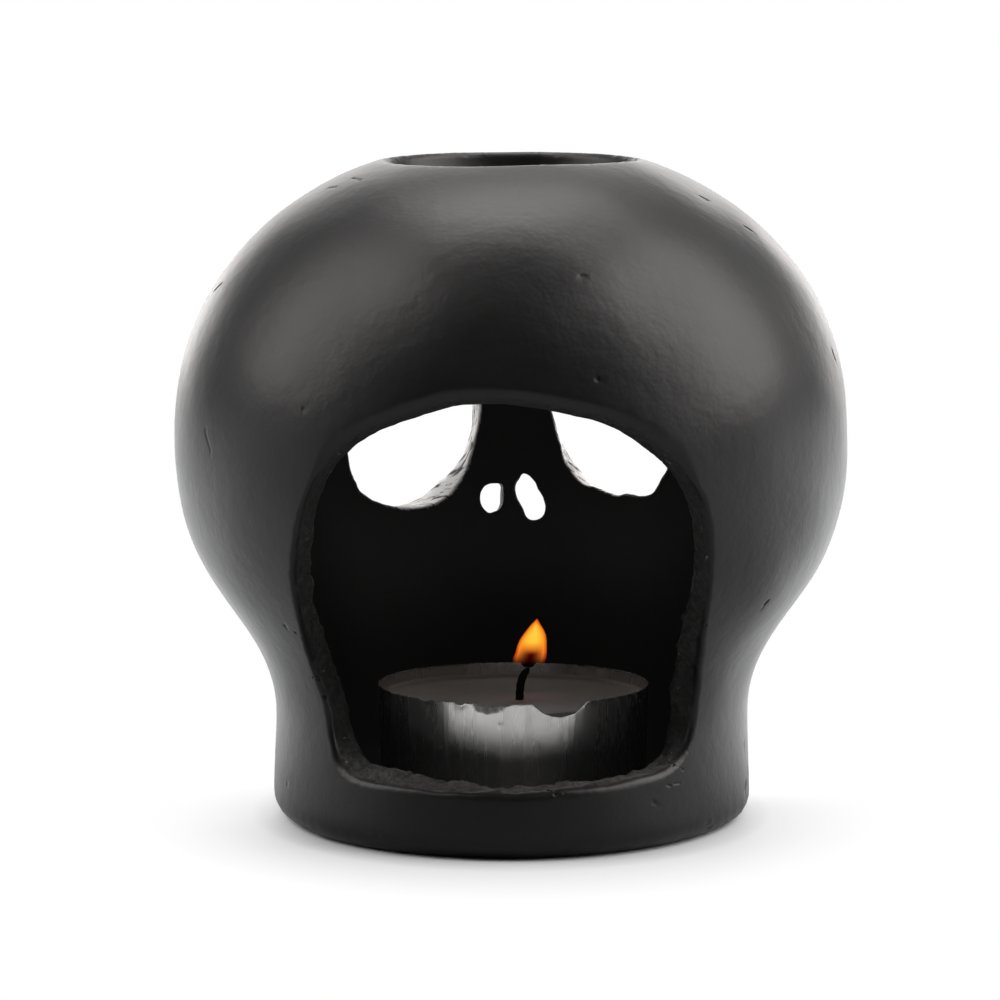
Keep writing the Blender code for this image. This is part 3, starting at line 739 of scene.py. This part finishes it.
def make_teeth():
    """The teeth as rounded blocks side by side round the jaw, half sunk into it."""
    bm = bmesh.new()
    upper, lower = TOOTH_HEIGHTS
    for low, high in (
        (BITE_HEIGHT + BITE_GAP / 2, BITE_HEIGHT + upper),
        (BITE_HEIGHT - lower, BITE_HEIGHT - BITE_GAP / 2),
    ):
        middle = np.array([(low + high) / 2])
        side = reaches(middle)[0][0]
        for i in range(TEETH_PER_ROW):
            run = (i - (TEETH_PER_ROW - 1) / 2) * TOOTH_PITCH
            x = np.array([side * math.sin(run / side)])
            normal = Vector(surface_normals(x, middle, -1)[0])
            centre = Vector(surface(x, middle, -1)[0]) + normal * (TOOTH_STAND - TOOTH_DEPTH / 2)
            facing = normal.to_track_quat("-Y", "Z").to_matrix().to_4x4()
            made = bmesh.ops.create_cube(bm, size=1.0)["verts"]
            bmesh.ops.scale(bm, vec=(TOOTH_PITCH - TOOTH_GAP, TOOTH_DEPTH, high - low), verts=made)
            rounded = {e for v in made for e in v.link_edges if min(w.co.y for w in e.verts) < 0}
            bmesh.ops.transform(bm, matrix=Matrix.Translation(centre) @ facing, verts=made)
            bmesh.ops.bevel(
                bm, geom=list(rounded), offset=TOOTH_EDGE, segments=6, profile=0.5, affect="EDGES"
            )
    mesh = bpy.data.meshes.new("teeth")
    bm.to_mesh(mesh)
    bm.free()
    points = points_of(mesh)
    out = points_of(mesh, "normal")
    points += out * (0.00006 * waves(points, 0.004, 41))[:, None]
    set_points(mesh, points)
    mesh.shade_smooth()
    return new_object("teeth", mesh)


# The tealight.
CUP_MIDDLE = (CUP_LOW.x + CUP_HIGH.x) / 2
CUP_RADIUS = (CUP_HIGH.x - CUP_LOW.x) / 2
CUP_BOTTOM, CUP_RIM = CUP_LOW.z, CUP_HIGH.z
CUP_COLUMNS = 960
CUP_TAPER = 0.0004
CUP_EDGE = 0.0010
WALL_FOOT = CUP_BOTTOM + CUP_EDGE
FOIL = 0.00012
WAVE_ROOM = 0.00016
# Its rim, as middle along the rim, half width and depth: the torn notch, and where the foil is
# pressed down, bent in, bent out, dented and crumpled.
TEAR = (0.0067, 0.0052, 0.0019)
PRESSED = (
    (-0.0036, 0.0021, 0.00045), (-0.0012, 0.0010, 0.00030), (-0.0078, 0.0009, 0.00028),
    (-0.0136, 0.0012, 0.00035), (-0.0114, 0.0005, 0.00025),
)
BENT_IN = ((-0.0036, 0.0026, 0.00030), (-0.0136, 0.0018, 0.00025))
BENT_OUT = ((-0.0074, 0.0012, 0.00010), (0.0112, 0.0010, 0.00016))
DENT = (-0.0017, 0.0007, 0.000035)
CRUMPLE = (-0.0037, 0.0027, 0.00010)
CRUMPLE_PITCH = 0.00021
WAX_COLUMNS = 360
WAX_LEVEL = CUP_RIM - 0.0020
POOL_DEPTH, POOL_SPREAD = 0.00035, 0.25
MENISCUS_STARTS, MENISCUS_HEIGHT = 0.94, 0.0007


def round_to_front(angles):
    """Length along the cup's rim from the point nearest the door, growing towards -X."""
    turned_by = (angles - math.pi / 2 + math.pi) % math.tau - math.pi
    return turned_by * CUP_RADIUS


def dips(along, *rows):
    """How deep these dips are at each place along the rim."""
    total = 0.0
    for middle, half, depth in rows:
        share = np.abs(along - middle) / half
        total = total + depth * (1 - share.clip(0, 1) ** 2)
    return total


def fold(along, t):
    """How the foil's upper edge is bent in by the fingers that pressed it."""
    near_rim = ((t - 0.93) / 0.07).clip(0, 1)
    bent = dips(along, *BENT_OUT) - dips(along, *BENT_IN)
    crumple = np.sin(along / CRUMPLE_PITCH + 30 * t) * dips(along, CRUMPLE)
    dent = dips(along, DENT) * np.exp(-(((t - 0.80) / 0.03) ** 2))
    return (bent + crumple) * near_rim**1.4 - dent


def foil_radius(height, rim):
    """The middle of the foil's thickness round the cup, with a height for each column."""
    share = (height - WALL_FOOT) / (rim - WALL_FOOT)
    spots = turned_rings([(CUP_RADIUS, 0.0)], len(height))[0]
    along = round_to_front(turns(len(height)))
    flutes = 0.000006 * waves(spots, 0.0024, 53) + 0.0000012 * waves(spots, 0.0008, 54)
    pleats = np.exp(-(((along - 0.0083) / 0.0018) ** 2))
    flutes += pleats * 0.000015 * waves(spots, 0.0011, 55)
    spots[:, 2] = height
    buckle = 0.000035 * waves(spots, 0.014, 56) + 0.000010 * waves(spots, 0.005, 57)
    radius = CUP_RADIUS - CUP_TAPER * (1 - share) - WAVE_ROOM
    return radius + buckle * np.sin(math.pi * share) + flutes + fold(along, share)


def make_cup():
    along = round_to_front(turns(CUP_COLUMNS))
    tear_at, tear_radius, tear_depth = TEAR
    reach = np.abs(along - tear_at).clip(0, tear_radius)
    torn = (tear_depth - tear_radius + np.sqrt(tear_radius**2 - reach**2)).clip(0)
    spots = turned_rings([(CUP_RADIUS, 0.0)], CUP_COLUMNS)[0]
    handled = 0.12 + 0.88 * ease(np.abs(along), 0.0140, 0.0080)
    ragged = 0.00003 * waves(spots, 0.0021, 51) + 0.00002 * waves(spots, 0.0009, 52)
    rim = CUP_RIM - np.maximum(torn, dips(along, *PRESSED)) - np.abs(ragged * handled) * 1.5
    base = CUP_RADIUS - CUP_TAPER - CUP_EDGE
    rows = [(radius, CUP_BOTTOM) for radius in np.linspace(0.002, base, 6)]
    for a in np.linspace(0, math.pi / 2, 6)[1:]:
        rows.append((base + CUP_EDGE * math.sin(a), WALL_FOOT - CUP_EDGE * math.cos(a)))
    heights = [WALL_FOOT + (rim - WALL_FOOT) * t for t in np.linspace(0, 1, 56)]
    rows += [(foil_radius(height, rim) + FOIL / 2, height) for height in heights[1:]]
    radius, height = rows[-1]
    for a in np.linspace(0, math.pi, 6)[1:]:
        inwards = FOIL * (1 - math.cos(a)) / 2
        rows.append((radius - inwards, height + FOIL * 0.6 * math.sin(a)))
    rows += [(foil_radius(height, rim) - FOIL / 2, height) for height in heights[-2:11:-2]]
    rows.append((0.004, rows[-1][1]))
    return tealight_piece("cup", turned_rings(rows, CUP_COLUMNS))


def make_wax():
    """The wax up to the foil all round, with a meniscus at the foil and a pool at the wick."""
    wall = foil_radius(np.full(WAX_COLUMNS, WAX_LEVEL), CUP_RIM)
    rows = []
    for share in np.linspace(0.04, MENISCUS_STARTS, 40):
        pool = POOL_DEPTH * math.exp(-((share / POOL_SPREAD) ** 2))
        rows.append((wall * share, WAX_LEVEL - pool))
    for a in np.linspace(0, math.pi / 2, 10)[1:]:
        share = MENISCUS_STARTS + (1 - MENISCUS_STARTS) * math.sin(a)
        rows.append((wall * share, WAX_LEVEL + MENISCUS_HEIGHT * (1 - math.cos(a))))
    rows.append((wall - 0.0003, WAX_LEVEL - 0.004))
    rows.append((wall - 0.0012, WAX_LOW.z + 0.0004))
    rings = turned_rings(rows, WAX_COLUMNS)
    flat = rings.reshape(-1, 3)
    flat[:, 2] += 0.00004 * waves(flat, 0.009, 61) + 0.00002 * waves(flat, 0.003, 62)
    return tealight_piece("wax", rings)


def tealight_piece(name, rings):
    rings[:, :, 0] += CUP_MIDDLE
    piece = lofted(name, rings)
    piece.data.shade_smooth()
    return piece


WICK_PATH = (
    (-0.00120, 0.0105), (-0.00119, 0.0140), (-0.00118, 0.0160), (-0.00122, 0.0172),
    (-0.00136, 0.0183), (-0.00168, 0.0192), (-0.00215, 0.0199), (-0.00258, 0.0203),
)
WICK_RADIUS = 0.00057
WICK_COLUMNS = 36
PLAIT_DEPTH, PLAIT_TWIST = 0.10, 34
BURNT_FROM = 0.80
GLOWING = (0.86, 0.98)


def make_wick():
    """Plaited strands round one bent line, burnt thin and ragged at the top."""
    shares = np.linspace(0, 1, 150)
    path = resampled(np.array(WICK_PATH), shares)
    for _ in range(60):
        path[1:-1] += 0.5 * ((path[:-2] + path[2:]) / 2 - path[1:-1])
    ahead = unit(np.gradient(path, axis=0))
    angles = turns(WICK_COLUMNS)
    rings = []
    for share, (x, z), (ax, az) in zip(shares, path, ahead):
        strands = np.abs(np.sin(1.5 * angles + PLAIT_TWIST * share))
        strands += np.abs(np.sin(1.5 * angles - PLAIT_TWIST * share + 1.0))
        burnt = max(0.0, (share - BURNT_FROM) / (1 - BURNT_FROM))
        radius = WICK_RADIUS * (0.86 + PLAIT_DEPTH * strands) * math.sqrt(max(1 - burnt**2.2, 0.02))
        radius *= 1 + 0.1 * burnt * np.sin(5 * angles)
        across = np.outer(np.cos(angles) * radius, (az, 0.0, -ax))
        rings.append((x, 0.0, z) + across + np.outer(np.sin(angles) * radius, (0, 1, 0)))
    wick = lofted("burnt_wick", np.array(rings))
    store(wick.data, "heat", np.repeat(ease(shares, *GLOWING), WICK_COLUMNS))
    wick.data.shade_smooth()
    return wick


# Flame: height, middle and half width.
FLAME = (
    (0.0196, -0.00235, 0.00120), (0.0202, -0.00240, 0.00190), (0.0210, -0.00245, 0.00228),
    (0.0218, -0.00262, 0.00232), (0.0226, -0.00284, 0.00218), (0.0234, -0.00292, 0.00208),
    (0.0242, -0.00308, 0.00192), (0.0250, -0.00328, 0.00162), (0.0258, -0.00342, 0.00116),
    (0.0265, -0.00347, 0.00066), (0.0270, -0.00358, 0.00028), (0.0273, -0.00364, 0.00004),
)
# Its shells from outer to inner: size, red, green, blue and opacity of the glow.
SHELLS = (
    (1.00, 1.0, 0.19, 0.008, 0.38),
    (0.92, 1.0, 0.34, 0.020, 0.36),
    (0.83, 1.1, 0.75, 0.055, 0.32),
    (0.70, 1.2, 1.20, 0.100, 0.28),
    (0.56, 1.3, 1.50, 0.140, 0.28),
    (0.42, 1.3, 1.70, 0.180, 0.30),
    (0.28, 1.3, 1.80, 0.200, 0.35),
)


# The heights over which its glow sets in, closes round the wick, gets a light core, warms, and
# cools at the tip. Shells over this size have their core from the start, and are open at the wick.
GLOW_SETS_IN = (0.0208, 0.0232)
GLOW_CLOSES = (0.0224, 0.0238)
CORE_LIGHTS = (0.0226, 0.0244)
GLOW_WARMS = (0.0216, 0.0244)
TIP_COOLS = (0.0262, 0.0273)
OUTER_SHELL = 0.75
FLAME_COLUMNS = 48


def make_flame():
    """Nested thin shells of glow, brightest where most of them overlap, and dark at the wick."""
    line = np.array(FLAME)
    heights = np.linspace(line[0, 0], line[-1, 0], 60)
    middle = np.interp(heights, line[:, 0], line[:, 1])
    width = np.interp(heights, line[:, 0], line[:, 2])
    shape = (len(heights), FLAME_COLUMNS)
    colours = []
    bm = bmesh.new()
    for size, red, green, blue, opacity in SHELLS:
        low = heights[0] + (1 - size) * 0.0020
        high = heights[-1] - (1 - size) * 0.0019
        level = np.linspace(low, high, len(heights))
        rings = turned_rings(list(zip(width * size, level)), FLAME_COLUMNS)
        rings[:, :, 0] += np.interp(level, heights, middle)[:, None]
        part = lofted("shell", rings, capped=False)
        bm.from_mesh(part.data)
        remove(part)
        rise, ripe, core, warm, cool = (
            ease(level, *span)[:, None]
            for span in (GLOW_SETS_IN, GLOW_CLOSES, CORE_LIGHTS, GLOW_WARMS, TIP_COOLS)
        )
        beside = ripe + (1 - ripe) * np.cos(turns(FLAME_COLUMNS)) ** 2
        if size > OUTER_SHELL:
            core = np.ones_like(core)
        else:
            beside = np.ones_like(beside)
        light = core**1.6 * (1 - 0.45 * cool)
        values = (
            red * (0.05 + 0.95 * core),
            green * (0.5 + 0.5 * warm) * light,
            blue * light,
            opacity * rise * beside,
        )
        values = [np.broadcast_to(value, shape) for value in values]
        colours.append(np.stack(values, axis=-1).reshape(-1, 4))
    mesh = bpy.data.meshes.new("flame")
    bm.to_mesh(mesh)
    bm.free()
    layer = mesh.attributes.new("glow", "FLOAT_COLOR", "POINT")
    layer.data.foreach_set("color", np.vstack(colours).astype(np.float32).ravel())
    mesh.shade_smooth()
    return new_object("flame", mesh)


# Materials.
class Nodes:
    """Adds nodes to one new material or world with short calls."""

    def __init__(self, name, kind="materials"):
        self.owner = getattr(bpy.data, kind).new(name)
        self.owner.use_nodes = True
        self.tree = self.owner.node_tree
        self.shader = self.tree.nodes.get("Principled BSDF")

    def add(self, kind, **values):
        node = self.tree.nodes.new("ShaderNode" + kind)
        for key, value in values.items():
            setattr(node, key, value)
        return node

    def link(self, source, target):
        self.tree.links.new(source, target)

    def put(self, socket, value):
        if isinstance(value, bpy.types.NodeSocket):
            self.link(value, socket)
        else:
            socket.default_value = value

    def set(self, **values):
        for key, value in values.items():
            self.put(self.shader.inputs[key.replace("_", " ")], value)

    def place(self, scale=(1, 1, 1)):
        coordinates = self.add("TexCoord")
        mapping = self.add("Mapping")
        mapping.inputs["Scale"].default_value = scale
        self.link(coordinates.outputs["Object"], mapping.inputs["Vector"])
        return mapping.outputs["Vector"]

    def noise(self, scale, detail=3.0, stretch=(1, 1, 1), rough=0.5):
        node = self.add("TexNoise")
        node.inputs["Scale"].default_value = scale
        node.inputs["Detail"].default_value = detail
        node.inputs["Roughness"].default_value = rough
        self.link(self.place(stretch), node.inputs["Vector"])
        return node.outputs["Fac"]

    def spread(self, value, low, high, to_low=0.0, to_high=1.0):
        node = self.add("MapRange")
        names = ("Value", "From Min", "From Max", "To Min", "To Max")
        for name, number in zip(names, (value, low, high, to_low, to_high)):
            self.put(node.inputs[name], number)
        return node.outputs["Result"]

    def math(self, operation, a, b=0.0):
        node = self.add("Math", operation=operation)
        self.put(node.inputs[0], a)
        self.put(node.inputs[1], b)
        return node.outputs[0]

    def mix(self, share, a, b):
        node = self.add("Mix", data_type="RGBA")
        self.put(node.inputs["Factor"], share)
        self.put(node.inputs[6], a)
        self.put(node.inputs[7], b)
        return node.outputs[2]

    def attribute(self, name, output="Fac"):
        return self.add("Attribute", attribute_name=name).outputs[output]

    def bump(self, height, strength, distance, under=None):
        node = self.add("Bump")
        self.put(node.inputs["Strength"], strength)
        node.inputs["Distance"].default_value = distance
        self.link(height, node.inputs["Height"])
        if under is not None:
            self.link(under, node.inputs["Normal"])
        return node.outputs["Normal"]

    def measure(self, operation, vector, other=(0, 0, 0)):
        """One number from a vector, such as its distance from another."""
        node = self.add("VectorMath", operation=operation)
        self.link(vector, node.inputs[0])
        node.inputs[1].default_value = other
        return node.outputs["Value"]

    def blend(self, share, first, second):
        """Shows a share of the second shader, and the first for the rest."""
        mixed = self.add("MixShader")
        for socket, value in zip(mixed.inputs, (share, first.outputs[0], second.outputs[0])):
            self.link(value, socket)
        out = next(node for node in self.tree.nodes if node.type.startswith("OUTPUT"))
        self.link(mixed.outputs[0], out.inputs["Surface"])

    def for_camera(self):
        return self.add("LightPath").outputs["Is Camera Ray"]


def ceramic_material():
    n = Nodes("satin black ceramic")
    cut_face = n.attribute("cut")
    bare_clay_and_reflection = n.attribute("bare_clay_and_reflection")
    inside = n.attribute("inside")
    mark = n.attribute("mark")
    patches = n.noise(120, 4)
    shade = n.mix(patches, (0.0030, 0.0030, 0.0031, 1), (0.0048, 0.0047, 0.0046, 1))
    lumps = n.spread(n.noise(1400, 5, rough=0.7), 0.35, 0.65)
    torn = n.mix(lumps, (0.002, 0.002, 0.002, 1), (0.018, 0.017, 0.016, 1))
    shade = n.mix(cut_face, shade, torn)
    # Dust and painted sheen on the sill's upward cut faces: lighter where dust lies and where light
    # falls.
    dust_and_sheen_colour = n.mix(lumps, (0.006, 0.006, 0.006, 1), (0.045, 0.044, 0.043, 1))
    shade = n.mix(n.attribute("dust_and_sheen"), shade, dust_and_sheen_colour)
    shade = n.mix(inside, shade, (0.012, 0.012, 0.012, 1))
    flecks = n.math("MULTIPLY", n.spread(n.noise(900, 2), 0.70, 0.76), cut_face)
    shade = n.mix(flecks, shade, (0.16, 0.155, 0.15, 1))
    # Bare clay and painted reflection: pale with dark streaks on the eyes' cut faces by the nose.
    streaks = n.spread(n.noise(1500, 4, (0.22, 1.3, 0.22), 0.6), 0.41, 0.49)
    clay_and_reflection = n.mix(streaks, (0.07, 0.07, 0.07, 1), (0.72, 0.72, 0.71, 1))
    shade = n.mix(bare_clay_and_reflection, shade, clay_and_reflection)
    # Painted shade: the pits and scratches are darker than the glaze around them, the deeper the
    # darker.
    shade = n.mix(mark, shade, (0.0015, 0.0015, 0.0015, 1))
    rough = n.spread(n.noise(60, 3), 0.3, 0.7, 0.36, 0.42)
    rough = n.math("ADD", rough, n.math("MULTIPLY", cut_face, 0.14))
    rough = n.math("ADD", rough, n.math("MULTIPLY", inside, 0.35))
    shine = n.spread(inside, 0.0, 1.0, 0.20, 0.05)
    normal = n.bump(n.noise(420, 2), 0.10, 0.0006)
    normal = n.bump(n.noise(1500, 2), 0.10, 0.00018, normal)
    normal = n.bump(n.noise(2400, 4, rough=0.7), n.math("MULTIPLY", cut_face, 0.8), 0.0004, normal)
    n.set(Base_Color=shade, Roughness=rough, Specular_IOR_Level=shine, Normal=normal)
    # Painted glow: the chamber's inside gives off a faint light of its own, painted in to lift its
    # deep shade.
    n.set(Emission_Color=(1, 0.95, 0.92, 1), Emission_Strength=n.math("MULTIPLY", inside, 0.0020))
    return n.owner


def foil_material():
    n = Nodes("pressed aluminium foil")
    soot = n.spread(n.noise(160, 4), 0.35, 0.75)
    shade = n.mix(soot, (0.74, 0.725, 0.71, 1), (0.60, 0.585, 0.57, 1))
    brushed = n.noise(900, 3, (1, 1, 0.03))
    rough = n.spread(brushed, 0.3, 0.7, 0.23, 0.31)
    normal = n.bump(brushed, 0.035, 0.00006)
    normal = n.bump(n.noise(2600, 2), 0.08, 0.00004, normal)
    n.set(Base_Color=shade, Roughness=rough, Metallic=0.82, Normal=normal)
    return n.owner


def wax_material():
    n = Nodes("paraffin wax")
    cloud = n.noise(180, 3)
    shade = n.mix(cloud, (0.80, 0.72, 0.67, 1), (0.92, 0.84, 0.79, 1))
    rough = n.spread(cloud, 0.3, 0.7, 0.30, 0.42)
    n.set(Base_Color=shade, Roughness=rough, Normal=n.bump(n.noise(500, 2), 0.10, 0.0003))
    # Painted light: the wax glows faintly all over, and warmer near the wick, in place of the
    # flame's light falling on it.
    from_flame = n.measure("DISTANCE", n.place(), (FLAME[0][1], 0, WAX_LEVEL))
    close = n.spread(from_flame, 0.0, 0.0070, 1.0, 0.0)
    painted_glow = n.mix(close, (0.0100, 0.0080, 0.0068, 1), (0.0320, 0.0125, 0.0075, 1))
    n.set(Emission_Color=painted_glow, Emission_Strength=1.0)
    return n.owner


def tin_material():
    n = Nodes("tinned steel")
    rough = n.spread(n.noise(700, 3, (1, 0.1, 1)), 0.3, 0.7, 0.26, 0.42)
    shade = n.mix(n.noise(250, 3), (0.58, 0.58, 0.57, 1), (0.68, 0.68, 0.66, 1))
    n.set(Base_Color=shade, Metallic=1.0, Roughness=rough)
    return n.owner


def cotton_material():
    n = Nodes("charred cotton")
    shade = n.mix(n.noise(1800, 4), (0.004, 0.0035, 0.003, 1), (0.020, 0.016, 0.013, 1))
    n.set(Base_Color=shade, Roughness=0.85, Normal=n.bump(n.noise(3500, 3), 0.6, 0.0001))
    glow = n.math("MULTIPLY", n.attribute("heat"), 0.6)
    n.set(Emission_Color=(0.35, 0.02, 0.004, 1), Emission_Strength=glow)
    return n.owner


def flame_material():
    n = Nodes("flame")
    n.tree.nodes.remove(n.shader)
    glow = n.add("Emission")
    n.link(n.attribute("glow", "Color"), glow.inputs["Color"])
    n.blend(n.attribute("glow", "Alpha"), n.add("BsdfTransparent"), glow)
    return n.owner


# Camera, floor and light.
def make_camera():
    lens = bpy.data.cameras.new("camera")
    lens.lens = LENS_MM
    lens.sensor_width = SENSOR_MM
    lens.clip_start = 0.05
    lens.clip_end = 20
    camera = new_object("camera", lens)
    camera.location = CAMERA_PLACE
    camera.rotation_euler = Euler((math.radians(90 - CAMERA_TILT), 0, math.pi))
    bpy.context.scene.camera = camera


# The floor is white to the camera, but for the shadow at the foot, rendered shadow deepened by
# painted shade in the floor's colour: the distances over which the contact and the shadow fade out,
# and the share of white that the shadow starts with.
FLOOR_SIZE = 3.0
FLOOR_STRETCH = (1.25, 1, 1)
CONTACT = (0.0392, 0.0462)
SHADOW = (0.0440, 0.0650)
SHADOW_WHITE = 0.46
FRONT_RIGHT = (-0.45, 0.90, 0.0)
TO_CAMERA = (0, 1, 0)
# The room's light falls off from behind the skull to the camera's side.
ROOM_TURN, ROOM_LIGHT = (-0.95, -0.35), (1.0, 0.10)


def make_floor():
    mesh = bpy.data.meshes.new("floor")
    corners = [(x * FLOOR_SIZE, y * FLOOR_SIZE, 0) for x, y in ((-1, -1), (1, -1), (1, 1), (-1, 1))]
    mesh.from_pydata(corners, [], [(0, 1, 2, 3)])
    floor = new_object("floor", mesh)
    n = Nodes("white table")
    away = n.measure("LENGTH", n.place(FLOOR_STRETCH))
    # Painted shade and light: the table's colour is darker in front of the foot towards -X, darker
    # further out, and lighter behind the skull, where a plain white table has only more or less
    # light.
    near = n.spread(n.measure("DOT_PRODUCT", n.place(), FRONT_RIGHT), -0.012, 0.012)
    near = n.mix(near, (0.64, 0.67, 0.68, 1), (0.40, 0.418, 0.425, 1))
    beside = n.mix(n.spread(away, 0.15, 0.60), near, (0.42, 0.44, 0.45, 1))
    behind = n.spread(n.measure("DOT_PRODUCT", n.place(), TO_CAMERA), 0.0, -0.07)
    n.set(Base_Color=n.mix(behind, beside, (0.90, 0.94, 0.96, 1)))
    n.set(Roughness=0.6, Specular_IOR_Level=0.3)
    white = n.math("MULTIPLY", n.spread(away, *CONTACT), n.spread(away, *SHADOW, SHADOW_WHITE))
    white = n.math("MULTIPLY", white, n.for_camera())
    n.blend(white, n.shader, n.add("Emission"))
    mesh.materials.append(n.owner)


def make_world():
    """White for the camera, and the dim room for everything else."""
    n = Nodes("studio", "worlds")
    bpy.context.scene.world = n.owner
    n.tree.nodes.clear()
    n.add("OutputWorld")
    white = n.add("Background")
    white.inputs["Color"].default_value = (1, 1, 1, 1)
    room = n.add("Background")
    direction = n.add("TexCoord").outputs["Generated"]
    strength = n.spread(n.measure("DOT_PRODUCT", direction, TO_CAMERA), *ROOM_TURN, *ROOM_LIGHT)
    strength.node.interpolation_type = "SMOOTHSTEP"
    n.link(strength, room.inputs["Strength"])
    n.blend(n.for_camera(), room, white)


LAMP_COLOUR = (1.0, 0.962, 0.946)
LAMPS_FACE = Vector((0, 0, 0.06))


def softbox(name, azimuth, elevation, distance, width, height, radiance):
    """A lamp that faces the skull. Azimuth 0 is the camera's side, and 90 the photo's right."""
    light = bpy.data.lights.new(name, "AREA")
    light.shape = "RECTANGLE"
    light.size = width
    light.size_y = height
    light.energy = radiance * math.pi * width * height
    light.color = LAMP_COLOUR
    lamp = new_object(name, light)
    a, e = math.radians(azimuth), math.radians(elevation)
    towards = Vector((-math.sin(a) * math.cos(e), math.cos(a) * math.cos(e), math.sin(e)))
    lamp.location = LAMPS_FACE + towards * distance
    lamp.rotation_euler = towards.to_track_quat("Z", "Y").to_euler()


def make_lights():
    softbox("softbox_right", 88, 37, 1.2, 1.05, 1.36, 7.8)
    softbox("softbox_left", -90, 37, 1.2, 0.78, 1.32, 5.8)
    softbox("softbox_top", 180, 68, 1.2, 0.76, 0.62, 7.4)
    softbox("backdrop_top", 180, 16, 1.6, 1.20, 0.60, 2.6)
    softbox("backdrop_right", 156, 2, 1.6, 0.50, 0.48, 5.2)
    softbox("backdrop_left", -157, 1, 1.6, 0.50, 0.48, 5.0)


def add_piece(piece, material, node=None):
    piece.data.materials.append(material)
    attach(piece, "root")
    if node:
        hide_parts(node)


def main():
    make_camera()
    make_floor()
    make_world()
    make_lights()
    bpy.context.scene.view_settings.view_transform = "Standard"
    ceramic = ceramic_material()
    add_piece(make_skull(), ceramic, "skull_shell")
    add_piece(make_teeth(), ceramic)
    add_piece(make_cup(), foil_material(), "tealight_cup")
    add_piece(make_wax(), wax_material(), "tealight_wax")
    add_piece(make_wick(), cotton_material(), "wick")
    flame = make_flame()
    flame.visible_diffuse = False
    flame.visible_glossy = False
    flame.visible_shadow = False
    add_piece(flame, flame_material())
    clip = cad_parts["wick_clip"]
    clip.data.materials.clear()
    clip.data.materials.append(tin_material())


main()
